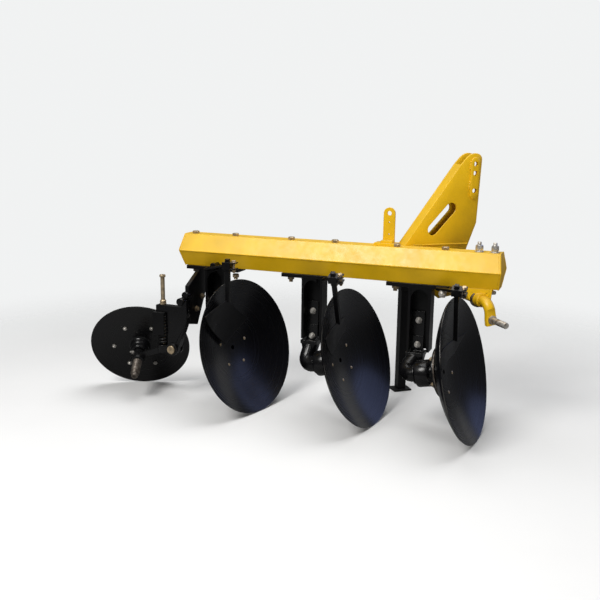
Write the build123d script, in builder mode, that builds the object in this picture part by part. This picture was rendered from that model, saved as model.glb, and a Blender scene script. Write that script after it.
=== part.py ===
import os
from math import cos, hypot, radians, sin, sqrt

from build123d import *

os.makedirs("parts", exist_ok=True)

# Three-furrow disc plough for a tractor three-point linkage, in millimetres.
# Y points in the direction of travel, X to the right of the machine, Z up.
# The beam lies across the machine, and its own frame has x along the beam
# towards the front, y away to the left and z up.

# Placing
beam_angle = 40.0
origin_x = -104.18
origin_y = 144.0

# Discs
disc_lap = 131.0
disc_diameter = 660.0
disc_curvature = 600.0
disc_thickness = 6.0
disc_edge = 2.0
disc_bevel = 9.0
disc_bolt_ring_diameter = 190.0
disc_bolt_hole = 14.0
disc_centre_hole = 22.0
disc_bolt_count = 5

# Columns: number, station, turn and rise of the disc axis in degrees, turn of the bolts
# in degrees, hub offset x and y as shares of the disc radius
disc_setting_shares = (
    (1, -1, -13.5, 14.5, 16.5, 0.4697, -0.4121),
    (2, 0, -7.5, 16.5, 35.5, 0.5636, -0.3273),
    (3, 1, -5.0, 12.5, 55.0, 0.4788, -0.4000),
)

# Beam, a tube folded to six sides
rear_overhang = 171.0
front_overhang = 375.0
beam_bottom = 678.0
beam_height = 160.0
beam_width = 175.0
beam_flat_width = 90.0
beam_wall = 8.0
cap_fold = 12.0
cap_thickness = 8.0

# Standards
plate_length = 293.0
plate_width = 90.0
plate_thickness = 18.0
plate_shift = 12.0
channel_back = 20.0
channel_width = 106.0
channel_shift = 14.0
channel_depth = 77.0
channel_wall = 12.0
channel_height = 300.0
bolt_pitch = 226.0
bolt_hole = 22.0

# Legs
pad_width = 58.0
pad_thickness = 12.0
pad_top_drop = 120.0
pad_step_drop = 236.0
pad_step = 8.0
pad_length = 212.0
leg_diameter = 72.0
leg_top_drop = 332.0
leg_front = 14.0
elbow_inside_rim = 192.0
knee_inside_rim = 124.0
elbow_radius = 40.0
collar_diameter = 94.0
collar_length = 8.0
neck_width = 84.0
neck_depth = 76.0
neck_height = 18.0
neck_drop = 8.0
spindle_diameter = 58.0
spindle_end = 36.0

# Disc hubs
hub_diameter = 124.0
hub_length = 92.0
hub_flange = 232.0
hub_flange_thickness = 14.0
hub_rib = 10.0
hub_rib_count = 10
hub_clearance = 0.05
hub_gap = 6.0

# Scrapers
blade_thickness = 6.0
arm_shoulder = 24.0
bar_size = 20.0
clamp_size = 42.0
clamp_height = 34.0
clamp_drop = 15.0
clamp_clearance = 0.4
clamp_tab = 24.0
clamp_tab_thickness = 6.0
arm_width = 40.0
arm_thickness = 12.0

# Corners of each blade as shares of the disc radius: the first three across, up and out
# from the disc's deepest point, the fourth across and up
blade_corner_shares = (
    ((-0.255, 0.739, 0.315), (-0.860, 0.582, 0.378), (-0.218, 0.085, 0.061), (0.255, 0.388)),
    ((-0.050, 0.624, 0.241), (-0.812, 0.448, 0.304), (-0.376, 0.145, 0.089), (0.067, 0.424)),
    ((0.460, 0.427, 0.241), (-0.576, 0.366, 0.183), (-0.350, 0.109, 0.082), (0.200, 0.200)),
)

# Columns: bar's foot across and up the disc, bar's head (x and y from the station, and
# height), and where its arm leaves the standard, all as shares of the disc radius
scraper_bar_shares = (
    (-0.255, 0.715, 0.542, -0.700, 2.295, -0.030),
    (-0.212, 0.565, 0.600, -0.845, 2.250, 0.300),
    (0.188, 0.395, 0.618, -0.550, 2.160, 0.342),
)

# Furrow wheel
wheel_diameter = 516.0
wheel_thickness = 6.0
wheel_turn = -65.5
wheel_tilt = -24.8
wheel_behind_disc = 402.0
wheel_y = -114.0
wheel_bolt_ring_diameter = 274.0
wheel_bolt_hole = 13.0
wheel_bolt_count = 6
wheel_hub_diameter = 104.0
wheel_hub_length = 58.0
wheel_flange = 306.0
wheel_flange_thickness = 8.0
axle_diameter = 38.0
axle_length = 158.0
axle_clearance = 0.05

# Wheel arm and its bracket
tail_front = -214.0
tail_back = -174.0
pivot_behind_disc = 145.0
pivot_z = 270.0
pivot_diameter = 30.0
pivot_head = 42.0
pivot_head_thickness = 8.0
arm_boss = 66.0
neck_boss = 56.0
fork_gap = 0.5
fork_wall = 12.0
yoke_gap = 4.0
yoke_length = 20.0
yoke_height = 30.0
arm_height = 40.0
arm_end_length = 44.0
cheek_behind_disc = 79.0
cheek_thickness = 20.0
spring_behind_disc = 206.0
spring_y = -194.0
spring_wire = 10.0
spring_diameter = 62.0
spring_foot = 286.0
spring_top = 453.0
spring_coils = 9
tail_bolt_diameter = 18.0
tail_bolt_top = 646.0
tail_bolt_head = 38.0
tail_bolt_head_height = 10.0
guard_thickness = 5.0
guard_height = 118.0
guard_width = 66.0

# Hitch
mast_centre = 229.0
mast_width = 74.0
mast_plate = 10.0
web_thickness = 8.0
link_spacing = 825.0
link_pin = 28.4
link_pin_length = 112.0
link_forward = 611.0
crank_drop = 74.0
link_collar = 50.0
link_collar_thickness = 6.0
shaft_forward = 598.0
shaft_cover = 14.0
shaft_diameter = 48.0
crank_eye = 52.0
crank_bend = 40.0
crank_end = 26.0
crank_straight = 50.0
crank_eye_length = 26.0
top_link_hole = 25.7
top_link_forward = 703.0
strap_width = 46.0
strap_thickness = 8.0
bracket_plate = 12.0

# Parking stand
stand_size = 45.0
stand_wall = 5.0
stand_x = -112.0
stand_top = 650.0
stand_clearance = 0.6
stand_lift = 300.0
sleeve_wall = 7.0
sleeve_drop = 80.0
sleeve_height = 118.0
foot_length = 100.0
foot_width = 80.0
foot_thickness = 8.0

overrun = 40.0

# Worked out from the sizes above
disc_spacing = disc_diameter - disc_lap
wheel_x = -disc_spacing - wheel_behind_disc
pivot_x = -disc_spacing - pivot_behind_disc
cheek_x = -disc_spacing - cheek_behind_disc
spring_x = -disc_spacing - spring_behind_disc
beam_rear = disc_spacing + rear_overhang
beam_length = beam_rear + disc_spacing + front_overhang
ridge = beam_bottom + beam_height / 2
beam_top = beam_bottom + beam_height
plate_bottom = beam_bottom - plate_thickness
disc_radius = disc_diameter / 2
elbow_reach = disc_radius - elbow_inside_rim
knee_reach = disc_radius - knee_inside_rim
disc_depth = disc_curvature - sqrt(disc_curvature**2 - disc_radius**2)
shaft_height = beam_bottom - bracket_plate - shaft_cover - shaft_diameter / 2
link_height = shaft_height - crank_drop
sleeve_bottom = shaft_height - sleeve_drop
beam_cos = cos(radians(beam_angle))
beam_sin = sin(radians(beam_angle))
wheel_radius = wheel_diameter / 2


def along(x, y, z):
    """A direction given in the beam's frame."""
    return Vector(x * beam_sin - y * beam_cos, x * beam_cos + y * beam_sin, z)


def at(x, y, z):
    """A point given in the beam's frame."""
    return along(x, y, z) + Vector(origin_x, origin_y, 0)


def site(x, y, z):
    """A point given in the machine's own axes."""
    return Vector(x + origin_x, y + origin_y, z)


def level(x, y, z):
    """A horizontal plane turned with the beam."""
    return Plane(origin=at(x, y, z), x_dir=along(1, 0, 0), z_dir=Vector(0, 0, 1))


def side(x, y, z):
    """An upright plane along the beam, seen from its right side."""
    return Plane(origin=at(x, y, z), x_dir=along(1, 0, 0), z_dir=along(0, -1, 0))


def cross(x, y, z):
    """An upright plane square to the beam, facing the front."""
    return Plane(origin=at(x, y, z), x_dir=along(0, 1, 0), z_dir=along(1, 0, 0))


def save(solid, name):
    solid.label = name
    export_step(solid, "parts/" + name + ".step")


def tilted(turn, rise):
    """The unit axis of a disc or wheel and the two directions square to it."""
    normal = Vector(
        cos(radians(rise)) * cos(radians(turn)),
        cos(radians(rise)) * sin(radians(turn)),
        sin(radians(rise)),
    )
    across = Vector(0, 0, 1).cross(normal).normalized()
    return normal, across, normal.cross(across)


def turned(vector):
    return along(vector.X, vector.Y, vector.Z)


def bowl_centre(first, second, third):
    """The centre of the sphere of the discs' curvature through three corners of a blade."""
    one = second - first
    two = third - first
    face = one.cross(two)
    middle = face.cross(one) * two.dot(two) + two.cross(face) * one.dot(one)
    middle = middle / (2 * face.dot(face))
    rise = sqrt(disc_curvature**2 - middle.dot(middle))
    return first + middle + face.normalized() * (rise if face.Z > 0 else -rise)


def disc_vertex(station, hub_x, hub_y, normal):
    """The deepest point of a disc's dish, at the height that rests its rim on the ground."""
    height = disc_radius * sqrt(1 - normal.Z**2) - (disc_depth - disc_edge) * normal.Z
    return Vector(station * disc_spacing + hub_x * disc_radius, hub_y * disc_radius, height)


# Main beam
hex_points = [
    (-beam_width / 2, 0),
    (-beam_flat_width / 2, beam_height / 2),
    (beam_flat_width / 2, beam_height / 2),
    (beam_width / 2, 0),
    (beam_flat_width / 2, -beam_height / 2),
    (-beam_flat_width / 2, -beam_height / 2),
]


def chevron(inset):
    """The outline of the beam seen from the side, with both ends folded out."""
    rear = -beam_rear + inset
    front = beam_length - beam_rear - inset
    return [
        (rear, 0),
        (rear + cap_fold, beam_height / 2),
        (front - cap_fold, beam_height / 2),
        (front, 0),
        (front - cap_fold, -beam_height / 2),
        (rear + cap_fold, -beam_height / 2),
    ]


with BuildPart() as beam_hull:
    with BuildSketch(cross(-beam_rear, 0, ridge)):
        Polygon(*hex_points, align=None)
    extrude(amount=beam_length)
    with BuildSketch(side(0, 0, ridge)):
        Polygon(*chevron(0), align=None)
    extrude(amount=beam_width, both=True, mode=Mode.INTERSECT)

with BuildPart() as main_beam:
    with BuildSketch(cross(-beam_rear, 0, ridge)):
        Polygon(*hex_points, align=None)
        offset(amount=-beam_wall, kind=Kind.INTERSECTION, mode=Mode.SUBTRACT)
    extrude(amount=beam_length)
    with BuildSketch(side(0, 0, ridge)):
        Polygon(*chevron(cap_thickness), align=None)
    extrude(amount=beam_width, both=True, mode=Mode.INTERSECT)
    with Locations(*[
        level(station * disc_spacing + hand * bolt_pitch / 2, -plate_shift, beam_bottom)
        for number, station, turn, rise, bolt_turn, hub_x, hub_y in disc_setting_shares
        for hand in (-1, 1)
    ]):
        Cylinder(bolt_hole / 2, beam_height * 3, mode=Mode.SUBTRACT)
save(main_beam.part, "main_beam")

for cap_name, cap_side in (("beam_cap_rear", -1), ("beam_cap_front", 1)):
    with BuildPart() as beam_cap:
        add(beam_hull.part)
        with BuildSketch(side(0, 0, ridge)):
            Polygon(*chevron(cap_thickness), align=None)
        extrude(amount=beam_width, both=True, mode=Mode.SUBTRACT)
        keep = level(beam_length / 2 - beam_rear + cap_side * beam_length / 2, 0, ridge)
        with Locations(keep):
            Box(beam_length / 2, beam_width * 2, beam_height * 2, mode=Mode.INTERSECT)
    save(beam_cap.part, cap_name)

# Standards: a bolting plate with a channel below it
channel_front = channel_back - channel_depth
web_front = channel_back - channel_wall
for number, station, turn, rise, bolt_turn, hub_x, hub_y in disc_setting_shares:
    station_x = station * disc_spacing
    channel_left = station_x + channel_shift - channel_width / 2
    with BuildPart() as standard:
        with BuildSketch(level(station_x, -plate_shift, plate_bottom)):
            Rectangle(plate_length, plate_width)
            with Locations((-bolt_pitch / 2, 0), (bolt_pitch / 2, 0)):
                Circle(bolt_hole / 2, mode=Mode.SUBTRACT)
        extrude(amount=plate_thickness)
        with BuildSketch(level(station_x + channel_shift, channel_back, plate_bottom)):
            Rectangle(channel_width, channel_depth, align=(Align.CENTER, Align.MAX))
            with Locations((0, -channel_wall)):
                Rectangle(
                    channel_width - 2 * channel_wall,
                    channel_depth,
                    align=(Align.CENTER, Align.MAX),
                    mode=Mode.SUBTRACT,
                )
        extrude(amount=-channel_height)
    save(standard.part, f"standard_{number}")

# Legs: a pad bolted in the channel, an elbow and the disc spindle
for number, station, turn, rise, bolt_turn, hub_x, hub_y in disc_setting_shares:
    station_x = station * disc_spacing
    normal, across, upward = tilted(turn, rise)
    vertex = disc_vertex(station, hub_x, hub_y, normal)
    pad_x = station_x + channel_shift - channel_width / 2 + channel_wall + pad_width / 2
    elbow = vertex - normal * elbow_reach
    stem = Vector(station_x, web_front - leg_front - pad_thickness, plate_bottom - leg_top_drop)
    with BuildPart() as leg:
        with BuildSketch(side(pad_x, web_front, plate_bottom - pad_top_drop)):
            Rectangle(pad_width, pad_length, align=(Align.CENTER, Align.MAX))
        extrude(amount=pad_thickness)
        with BuildSketch(side(pad_x, web_front - pad_thickness, plate_bottom - pad_step_drop)):
            Rectangle(
                pad_width,
                pad_length + pad_top_drop - pad_step_drop,
                align=(Align.CENTER, Align.MAX),
            )
        extrude(amount=pad_step)
        knee = vertex - normal * knee_reach
        start = at(stem.X, stem.Y, stem.Z)
        corner = at(knee.X, knee.Y, knee.Z)
        with BuildLine():
            FilletPolyline(start, corner, at(elbow.X, elbow.Y, elbow.Z), radius=elbow_radius)
        with BuildSketch(Plane(origin=start, x_dir=along(1, 0, 0), z_dir=corner - start)):
            Circle(leg_diameter / 2)
        sweep()
        foot = Plane(origin=at(stem.X, stem.Y, stem.Z), x_dir=along(1, 0, 0), z_dir=(0, 0, 1))
        with BuildSketch(foot):
            Circle(leg_diameter / 2)
        extrude(amount=leg_diameter / 4)
        with BuildSketch(foot.offset(leg_top_drop - channel_height - neck_drop)):
            Rectangle(neck_width, neck_depth)
        extrude(amount=-neck_height)
        spindle = Plane(
            origin=at(elbow.X, elbow.Y, elbow.Z), x_dir=turned(across), z_dir=turned(normal)
        )
        with BuildSketch(spindle):
            Circle(collar_diameter / 2)
        extrude(amount=collar_length)
        with BuildSketch(spindle):
            Circle(spindle_diameter / 2)
        extrude(amount=elbow_reach - spindle_end)
    save(leg.part, f"leg_{number}")

# Hubs and discs
for number, station, turn, rise, bolt_turn, hub_x, hub_y in disc_setting_shares:
    normal, across, upward = tilted(turn, rise)
    vertex = disc_vertex(station, hub_x, hub_y, normal)
    face = Plane(origin=at(vertex.X, vertex.Y, vertex.Z), x_dir=turned(across), z_dir=turned(normal))
    hub_back = -elbow_reach + collar_length + hub_gap
    flange_back = -disc_thickness - hub_flange_thickness
    with BuildPart() as hub:
        with BuildSketch(face.offset(hub_back)):
            Circle(hub_diameter / 2)
        extrude(amount=flange_back - hub_back)
        with BuildSketch(face.offset(flange_back)):
            Circle(hub_flange / 2)
        extrude(amount=hub_flange_thickness * 2)
        with BuildSketch(Plane(origin=face.origin, x_dir=face.x_dir, z_dir=-face.y_dir)) as rib:
            Polygon(
                (hub_diameter / 4, flange_back),
                (hub_flange / 2, flange_back),
                (hub_diameter / 2, (flange_back + hub_back) / 2),
                (hub_diameter / 4, (flange_back + hub_back) / 2),
                align=None,
            )
        rib_solid = extrude(amount=hub_rib / 2, both=True, mode=Mode.PRIVATE)
        for step in range(hub_rib_count):
            add(rib_solid.rotate(Axis(face.origin, face.z_dir), (step + 0.5) * 360 / hub_rib_count))
        with Locations(face.offset(disc_curvature)):
            Sphere(disc_curvature + disc_thickness, mode=Mode.SUBTRACT)
        with BuildSketch(face.offset(hub_back)):
            Circle(spindle_diameter / 2 + hub_clearance)
        extrude(amount=-hub_back - spindle_end + hub_gap, mode=Mode.SUBTRACT)
        with BuildSketch(face.offset(flange_back * 2)):
            with PolarLocations(disc_bolt_ring_diameter / 2, disc_bolt_count, start_angle=bolt_turn):
                Circle(disc_bolt_hole / 2)
        extrude(amount=overrun * 2, mode=Mode.SUBTRACT)
    save(hub.part, f"hub_{number}")

    outer_curve = disc_curvature + disc_thickness
    bevel_radius = disc_radius - disc_bevel
    bevel_depth = disc_curvature - sqrt(outer_curve**2 - bevel_radius**2)
    with BuildPart() as disc:
        with BuildSketch(Plane(origin=face.origin, x_dir=face.x_dir, z_dir=-face.y_dir)):
            with BuildLine():
                middle = disc_radius / 2
                inner = ThreePointArc(
                    (0, 0),
                    (middle, disc_curvature - sqrt(disc_curvature**2 - middle**2)),
                    (disc_radius, disc_depth),
                )
                Line((disc_radius, disc_depth), (disc_radius, disc_depth - disc_edge))
                Line((disc_radius, disc_depth - disc_edge), (bevel_radius, bevel_depth))
                ThreePointArc(
                    (bevel_radius, bevel_depth),
                    (middle, disc_curvature - sqrt(outer_curve**2 - middle**2)),
                    (0, -disc_thickness),
                )
                Line((0, -disc_thickness), (0, 0))
            make_face()
        revolve(axis=Axis(face.origin, face.z_dir))
        with BuildSketch(face.offset(-overrun)):
            Circle(disc_centre_hole / 2)
            with PolarLocations(disc_bolt_ring_diameter / 2, disc_bolt_count, start_angle=bolt_turn):
                Circle(disc_bolt_hole / 2)
        extrude(amount=overrun * 2, mode=Mode.SUBTRACT)
    save(disc.part, f"disc_{number}")

# Scrapers and the arms that hold them
for setting, corner_shares, bar_shares in zip(
    disc_setting_shares, blade_corner_shares, scraper_bar_shares
):
    number, station, turn, rise, bolt_turn, hub_x, hub_y = setting
    normal, across, upward = tilted(turn, rise)
    vertex = disc_vertex(station, hub_x, hub_y, normal)
    dish = Plane(
        origin=at(vertex.X, vertex.Y, vertex.Z), x_dir=turned(across), z_dir=turned(normal)
    )
    bowl = bowl_centre(*[Vector(*corner) * disc_radius for corner in corner_shares[:3]])
    foot_across, foot_up, head_x, head_y, head_z, root_x = [
        share * disc_radius for share in bar_shares
    ]
    reach = (disc_curvature - blade_thickness) ** 2
    reach = reach - (foot_across - bowl.X) ** 2 - (foot_up - bowl.Y) ** 2
    bar_foot = dish.from_local_coords(Vector(foot_across, foot_up, bowl.Z - sqrt(reach)))
    station_x = station * disc_spacing
    bar_head = at(station_x + head_x, head_y, head_z)
    bar_line = (bar_head - bar_foot).normalized()
    bar_plane = Plane(origin=bar_foot, x_dir=along(1, 0, 0), z_dir=bar_line)
    with BuildPart() as scraper:
        with BuildSketch(dish):
            Polygon(*[(c[0] * disc_radius, c[1] * disc_radius) for c in corner_shares], align=None)
        extrude(amount=disc_radius)
        with Locations(Plane(origin=dish.from_local_coords(bowl))):
            Sphere(disc_curvature, mode=Mode.INTERSECT)
            Sphere(disc_curvature - blade_thickness, mode=Mode.SUBTRACT)
        with BuildSketch(bar_plane.offset(-blade_thickness / 2)):
            Rectangle(bar_size, bar_size)
        extrude(amount=(bar_head - bar_foot).length + blade_thickness / 2)
    save(scraper.part, f"scraper_{number}")

    clamp_top = bar_plane.offset((bar_head - bar_foot).length - clamp_drop)
    clamp_middle = clamp_top.offset(-clamp_height / 2).origin
    edge_y = -plate_shift - plate_width / 2
    edge_z = plate_bottom + plate_thickness / 2
    root = at(station_x + root_x, edge_y, edge_z)
    shoulder = at(station_x + root_x, edge_y - arm_shoulder, edge_z)
    with BuildPart() as carrier:
        with BuildLine():
            Polyline(root, shoulder, clamp_middle)
        with BuildSketch(Plane(origin=root, x_dir=along(1, 0, 0), z_dir=along(0, -1, 0))):
            Rectangle(arm_width, arm_thickness)
        sweep(transition=Transition.RIGHT)
        with BuildSketch(clamp_top):
            Rectangle(clamp_size, clamp_size)
        extrude(amount=-clamp_height)
        for tab in (clamp_top, clamp_top.offset(clamp_tab_thickness - clamp_height)):
            with BuildSketch(tab):
                with Locations((clamp_tab / 2, 0)):
                    Rectangle(clamp_size + clamp_tab, clamp_size)
            extrude(amount=-clamp_tab_thickness)
        with BuildSketch(clamp_top.offset(overrun)):
            Rectangle(bar_size + clamp_clearance * 2, bar_size + clamp_clearance * 2)
        extrude(amount=-clamp_height - 2 * overrun, mode=Mode.SUBTRACT)
    save(carrier.part, f"scraper_arm_{number}")

# Furrow wheel
wheel_normal, wheel_across, wheel_up = tilted(wheel_turn, wheel_tilt)
wheel_z = wheel_radius * sqrt(1 - wheel_normal.Z**2)
wheel_face = Plane(
    origin=at(wheel_x, wheel_y, wheel_z),
    x_dir=turned(wheel_across),
    z_dir=turned(wheel_normal),
)
with BuildPart() as furrow_wheel:
    with BuildSketch(wheel_face):
        Circle(wheel_radius)
        Circle(wheel_hub_diameter / 2, mode=Mode.SUBTRACT)
        with PolarLocations(wheel_bolt_ring_diameter / 2, wheel_bolt_count):
            Circle(wheel_bolt_hole / 2, mode=Mode.SUBTRACT)
    extrude(amount=-wheel_thickness)
save(furrow_wheel.part, "furrow_wheel")

with BuildPart() as wheel_hub:
    with BuildSketch(wheel_face.offset(-wheel_thickness)):
        Circle(wheel_flange / 2)
        with PolarLocations(wheel_bolt_ring_diameter / 2, wheel_bolt_count):
            Circle(wheel_bolt_hole / 2, mode=Mode.SUBTRACT)
    extrude(amount=-wheel_flange_thickness)
    with BuildSketch(wheel_face.offset(-wheel_thickness)):
        Circle(wheel_hub_diameter / 2)
    extrude(amount=wheel_hub_length + wheel_thickness)
    with BuildSketch(wheel_face):
        Circle(axle_diameter / 2 + axle_clearance)
    extrude(amount=overrun * 2, mode=Mode.SUBTRACT)
save(wheel_hub.part, "wheel_hub")

with BuildPart() as wheel_axle:
    with BuildSketch(wheel_face.offset(hub_gap / 2)):
        Circle(axle_diameter / 2)
    extrude(amount=axle_length - hub_gap / 2)
save(wheel_axle.part, "wheel_axle")

# Sprung arm of the furrow wheel
arm_end = wheel_face.offset(wheel_hub_length + hub_gap)
end_centre = arm_end.offset(arm_end_length / 2).origin
yoke_start = neck_boss / 2 + yoke_gap
with BuildPart() as wheel_arm:
    with BuildSketch(arm_end):
        Circle(arm_boss / 2)
    extrude(amount=arm_end_length)
    fork = side(pivot_x, tail_back + fork_gap + fork_wall, pivot_z)
    for ear in (fork, fork.offset(tail_back - tail_front + 2 * fork_gap + fork_wall)):
        with BuildSketch(ear):
            Circle(arm_boss / 2)
            with Locations((-(yoke_start + yoke_length) / 2, 0)):
                Rectangle(yoke_start + yoke_length, yoke_height)
        extrude(amount=fork_wall)
    with BuildSketch(fork):
        with Locations((-yoke_start - yoke_length / 2, 0)):
            Rectangle(yoke_length, yoke_height)
    extrude(amount=tail_back - tail_front + 2 * fork_gap + 2 * fork_wall)
    bar_start = at(pivot_x - yoke_start - yoke_length / 2, (tail_front + tail_back) / 2, pivot_z)
    bar_line = end_centre - bar_start
    with BuildSketch(Plane(origin=bar_start, x_dir=along(0, 1, 0), z_dir=bar_line)):
        Rectangle((tail_back - tail_front) / 2, yoke_height)
    extrude(amount=bar_line.length)
    with BuildSketch(level(spring_x, spring_y, spring_foot)):
        Circle(spring_diameter / 2)
    extrude(amount=-arm_height)
    with BuildSketch(fork.offset(-overrun)):
        Circle(pivot_diameter / 2)
    extrude(amount=tail_back - tail_front + 2 * fork_wall + 2 * overrun, mode=Mode.SUBTRACT)
    with BuildSketch(arm_end.offset(-overrun)):
        Circle(axle_diameter / 2)
    extrude(amount=arm_end_length + 2 * overrun, mode=Mode.SUBTRACT)
save(wheel_arm.part, "wheel_arm")

casting_right_behind_disc = 61.0
casting_right = -disc_spacing - casting_right_behind_disc
casting_left_behind_disc = 237.0
casting_left = -disc_spacing - casting_left_behind_disc
casting_top = 492.0
casting_bar = 34.0
casting_step_behind_disc = 93.0
casting_step = -disc_spacing - casting_step_behind_disc
casting_step_top = 530.0
casting_waist_behind_disc = 172.0
casting_waist = -disc_spacing - casting_waist_behind_disc
waist_z = 338.0
casting_foot = 421.0
with BuildPart() as tail_bracket:
    with BuildSketch(side(0, tail_back, 0)):
        Polygon(
            (casting_waist, waist_z),
            (casting_waist, casting_top - casting_bar),
            (casting_left, casting_top - casting_bar),
            (casting_left, casting_top),
            (casting_step, casting_top),
            (casting_right, casting_step_top),
            (casting_right, casting_foot),
            (pivot_x + neck_boss / 2, pivot_z),
            (pivot_x - neck_boss / 2, pivot_z),
            align=None,
        )
        with Locations((pivot_x, pivot_z)):
            Circle(neck_boss / 2)
    extrude(amount=tail_back - tail_front)
    with BuildSketch(side(0, tail_back + overrun, 0)):
        with Locations((pivot_x, pivot_z)):
            Circle(pivot_diameter / 2)
    extrude(amount=tail_back - tail_front + 2 * overrun, mode=Mode.SUBTRACT)
    with BuildSketch(level(spring_x, spring_y, casting_top - casting_bar - overrun)):
        Circle(tail_bolt_diameter / 2)
    extrude(amount=casting_bar + 2 * overrun, mode=Mode.SUBTRACT)
save(tail_bracket.part, "tail_bracket")

with BuildPart() as pivot_pin:
    pin_back = tail_back + fork_gap + fork_wall
    pin_front = tail_front - fork_gap - fork_wall
    with BuildSketch(side(pivot_x, pin_back, pivot_z)):
        Circle(pivot_diameter / 2)
    extrude(amount=pin_back - pin_front)
    with BuildSketch(side(pivot_x, pin_front, pivot_z)):
        Circle(pivot_head / 2)
    extrude(amount=pivot_head_thickness)
save(pivot_pin.part, "pivot_pin")

with BuildPart() as tail_bolt:
    with BuildSketch(level(spring_x, spring_y, spring_foot + spring_wire)):
        Circle(tail_bolt_diameter / 2)
    extrude(amount=tail_bolt_top - spring_foot - spring_wire)
    with BuildSketch(level(spring_x, spring_y, tail_bolt_top)):
        Circle(tail_bolt_head / 2)
    extrude(amount=-tail_bolt_head_height)
save(tail_bolt.part, "tail_bolt")

coil_pitch = (spring_top - spring_foot) / spring_coils
with BuildPart() as spring:
    with BuildSketch(side(spring_x, spring_y, spring_foot)):
        Polygon(
            (tail_bolt_diameter / 2, 0),
            *[
                point
                for turn_number in range(spring_coils)
                for point in (
                    (spring_diameter / 2, (turn_number + 0.25) * coil_pitch),
                    (spring_diameter / 2, (turn_number + 0.75) * coil_pitch),
                    (spring_diameter / 2 - spring_wire / 2, (turn_number + 1) * coil_pitch),
                )
            ],
            (tail_bolt_diameter / 2, spring_top - spring_foot),
            align=None,
        )
    revolve(axis=Axis(at(spring_x, spring_y, spring_foot), Vector(0, 0, 1)))
save(spring.part, "spring")

guard_gap = 4.0
with BuildPart() as spring_guard:
    guard_left = spring_x - spring_diameter / 2 - guard_gap - guard_thickness
    guard_front = spring_y - spring_diameter / 2 - guard_gap - guard_thickness
    guard_top = casting_top - casting_bar
    with BuildSketch(level(guard_left, guard_front, guard_top)):
        Rectangle(guard_thickness, guard_width, align=(Align.MIN, Align.MIN))
        Rectangle(guard_width, guard_thickness, align=(Align.MIN, Align.MIN))
    extrude(amount=-guard_height)
    with BuildSketch(level(guard_left, guard_front, guard_top)):
        Rectangle(guard_width, guard_width, align=(Align.MIN, Align.MIN))
        with Locations((spring_x - guard_left, spring_y - guard_front)):
            Circle(tail_bolt_diameter / 2, mode=Mode.SUBTRACT)
    extrude(amount=-guard_thickness)
save(spring_guard.part, "spring_guard")

cheek_front = tail_back
cheek_shoulder = 594.0
cheek_bottom = 400.0
cheek_back = 33.0
with BuildPart() as tail_cheek:
    with BuildSketch(cross(cheek_x - cheek_thickness / 2, 0, 0)):
        Polygon(
            (cheek_back, plate_bottom),
            (channel_front, plate_bottom),
            (cheek_front, cheek_shoulder),
            (cheek_front, cheek_bottom),
            (cheek_front / 2, cheek_bottom - cheek_thickness),
            (cheek_back, cheek_shoulder),
            align=None,
        )
    extrude(amount=cheek_thickness)
save(tail_cheek.part, "tail_cheek")

# Mast
web_foot_y = 357.0
web_foot_z = 838.0
web_top_behind = 72.0
web_top_y = top_link_forward - web_top_behind
web_top_z = 1212.0
crown_left_behind = 33.0
crown_left_y = top_link_forward - crown_left_behind
crown_left_z = 1255.0
crown_behind = 4.0
crown_y = top_link_forward - crown_behind
crown_z = 1264.0
crown_right_ahead = 37.0
crown_right_y = top_link_forward + crown_right_ahead
crown_right_z = 1246.0
front_ahead = 24.0
front_y = top_link_forward + front_ahead
front_z = 938.0
chin_y = 681.0
chin_z = 815.0
nose_y = 645.0
nose_drop = 35.0
nose_z = shaft_height - nose_drop
heel_y = 545.0
gusset_y = 402.0
heel_drop = 50.0
heel_z = shaft_height - heel_drop
slot_y = 545.0
slot_z = 959.0
slot_length = 190.0
slot_width = 58.0
slot_angle = 47.0
hole_low_z = 1090.0
hole_mid_z = 1172.0
hole_high_z = 1215.0
strap_margin = 31.0
strap_tail = 40.0
strap_top = hole_high_z + strap_margin
strap_bottom = hole_low_z - strap_tail
web_slope = (web_top_y - web_foot_y) / (web_top_z - web_foot_z)
web_low_y = web_foot_y - (web_foot_z - ridge) * web_slope


def fore_aft(x):
    """An upright plane along the direction of travel, seen from the right."""
    return Plane(origin=site(x, 0, 0), x_dir=(0, 1, 0), z_dir=(1, 0, 0))


for hand_name, hand in (("right", 1), ("left", -1)):
    inner_x = mast_centre + hand * (mast_width / 2 - mast_plate)
    with BuildPart() as mast_side:
        with BuildSketch(fore_aft(inner_x)):
            Polygon(
                (web_low_y, ridge),
                (web_top_y, web_top_z),
                (crown_left_y, crown_left_z),
                (crown_y, crown_z),
                (crown_right_y, crown_right_z),
                (front_y, front_z),
                (chin_y, chin_z),
                (nose_y, nose_z),
                (heel_y, heel_z),
                (gusset_y, beam_bottom),
                align=None,
            )
            with Locations(Location((slot_y, slot_z, 0), (0, 0, slot_angle))):
                SlotOverall(slot_length, slot_width, mode=Mode.SUBTRACT)
            with Locations(
                (top_link_forward, hole_low_z),
                (top_link_forward, hole_mid_z),
                (top_link_forward, hole_high_z),
            ):
                Circle(top_link_hole / 2, mode=Mode.SUBTRACT)
            with Locations((shaft_forward, shaft_height)):
                Circle(shaft_diameter / 2, mode=Mode.SUBTRACT)
        extrude(amount=hand * mast_plate)
        add(beam_hull.part, mode=Mode.SUBTRACT)
    solids = mast_side.part.solids().sort_by(SortBy.VOLUME)
    save(Part(solids[-1].wrapped), f"mast_side_{hand_name}")

    strap_x = mast_centre + hand * mast_width / 2
    with BuildPart() as strap:
        with BuildSketch(fore_aft(strap_x)):
            with Locations((top_link_forward, (strap_top + strap_bottom) / 2)):
                SlotOverall(strap_top - strap_bottom, strap_width, rotation=90)
            with Locations(
                (top_link_forward, hole_low_z),
                (top_link_forward, hole_mid_z),
                (top_link_forward, hole_high_z),
            ):
                Circle(top_link_hole / 2, mode=Mode.SUBTRACT)
        extrude(amount=hand * strap_thickness)
    save(strap.part, f"mast_strap_{hand_name}")

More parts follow.
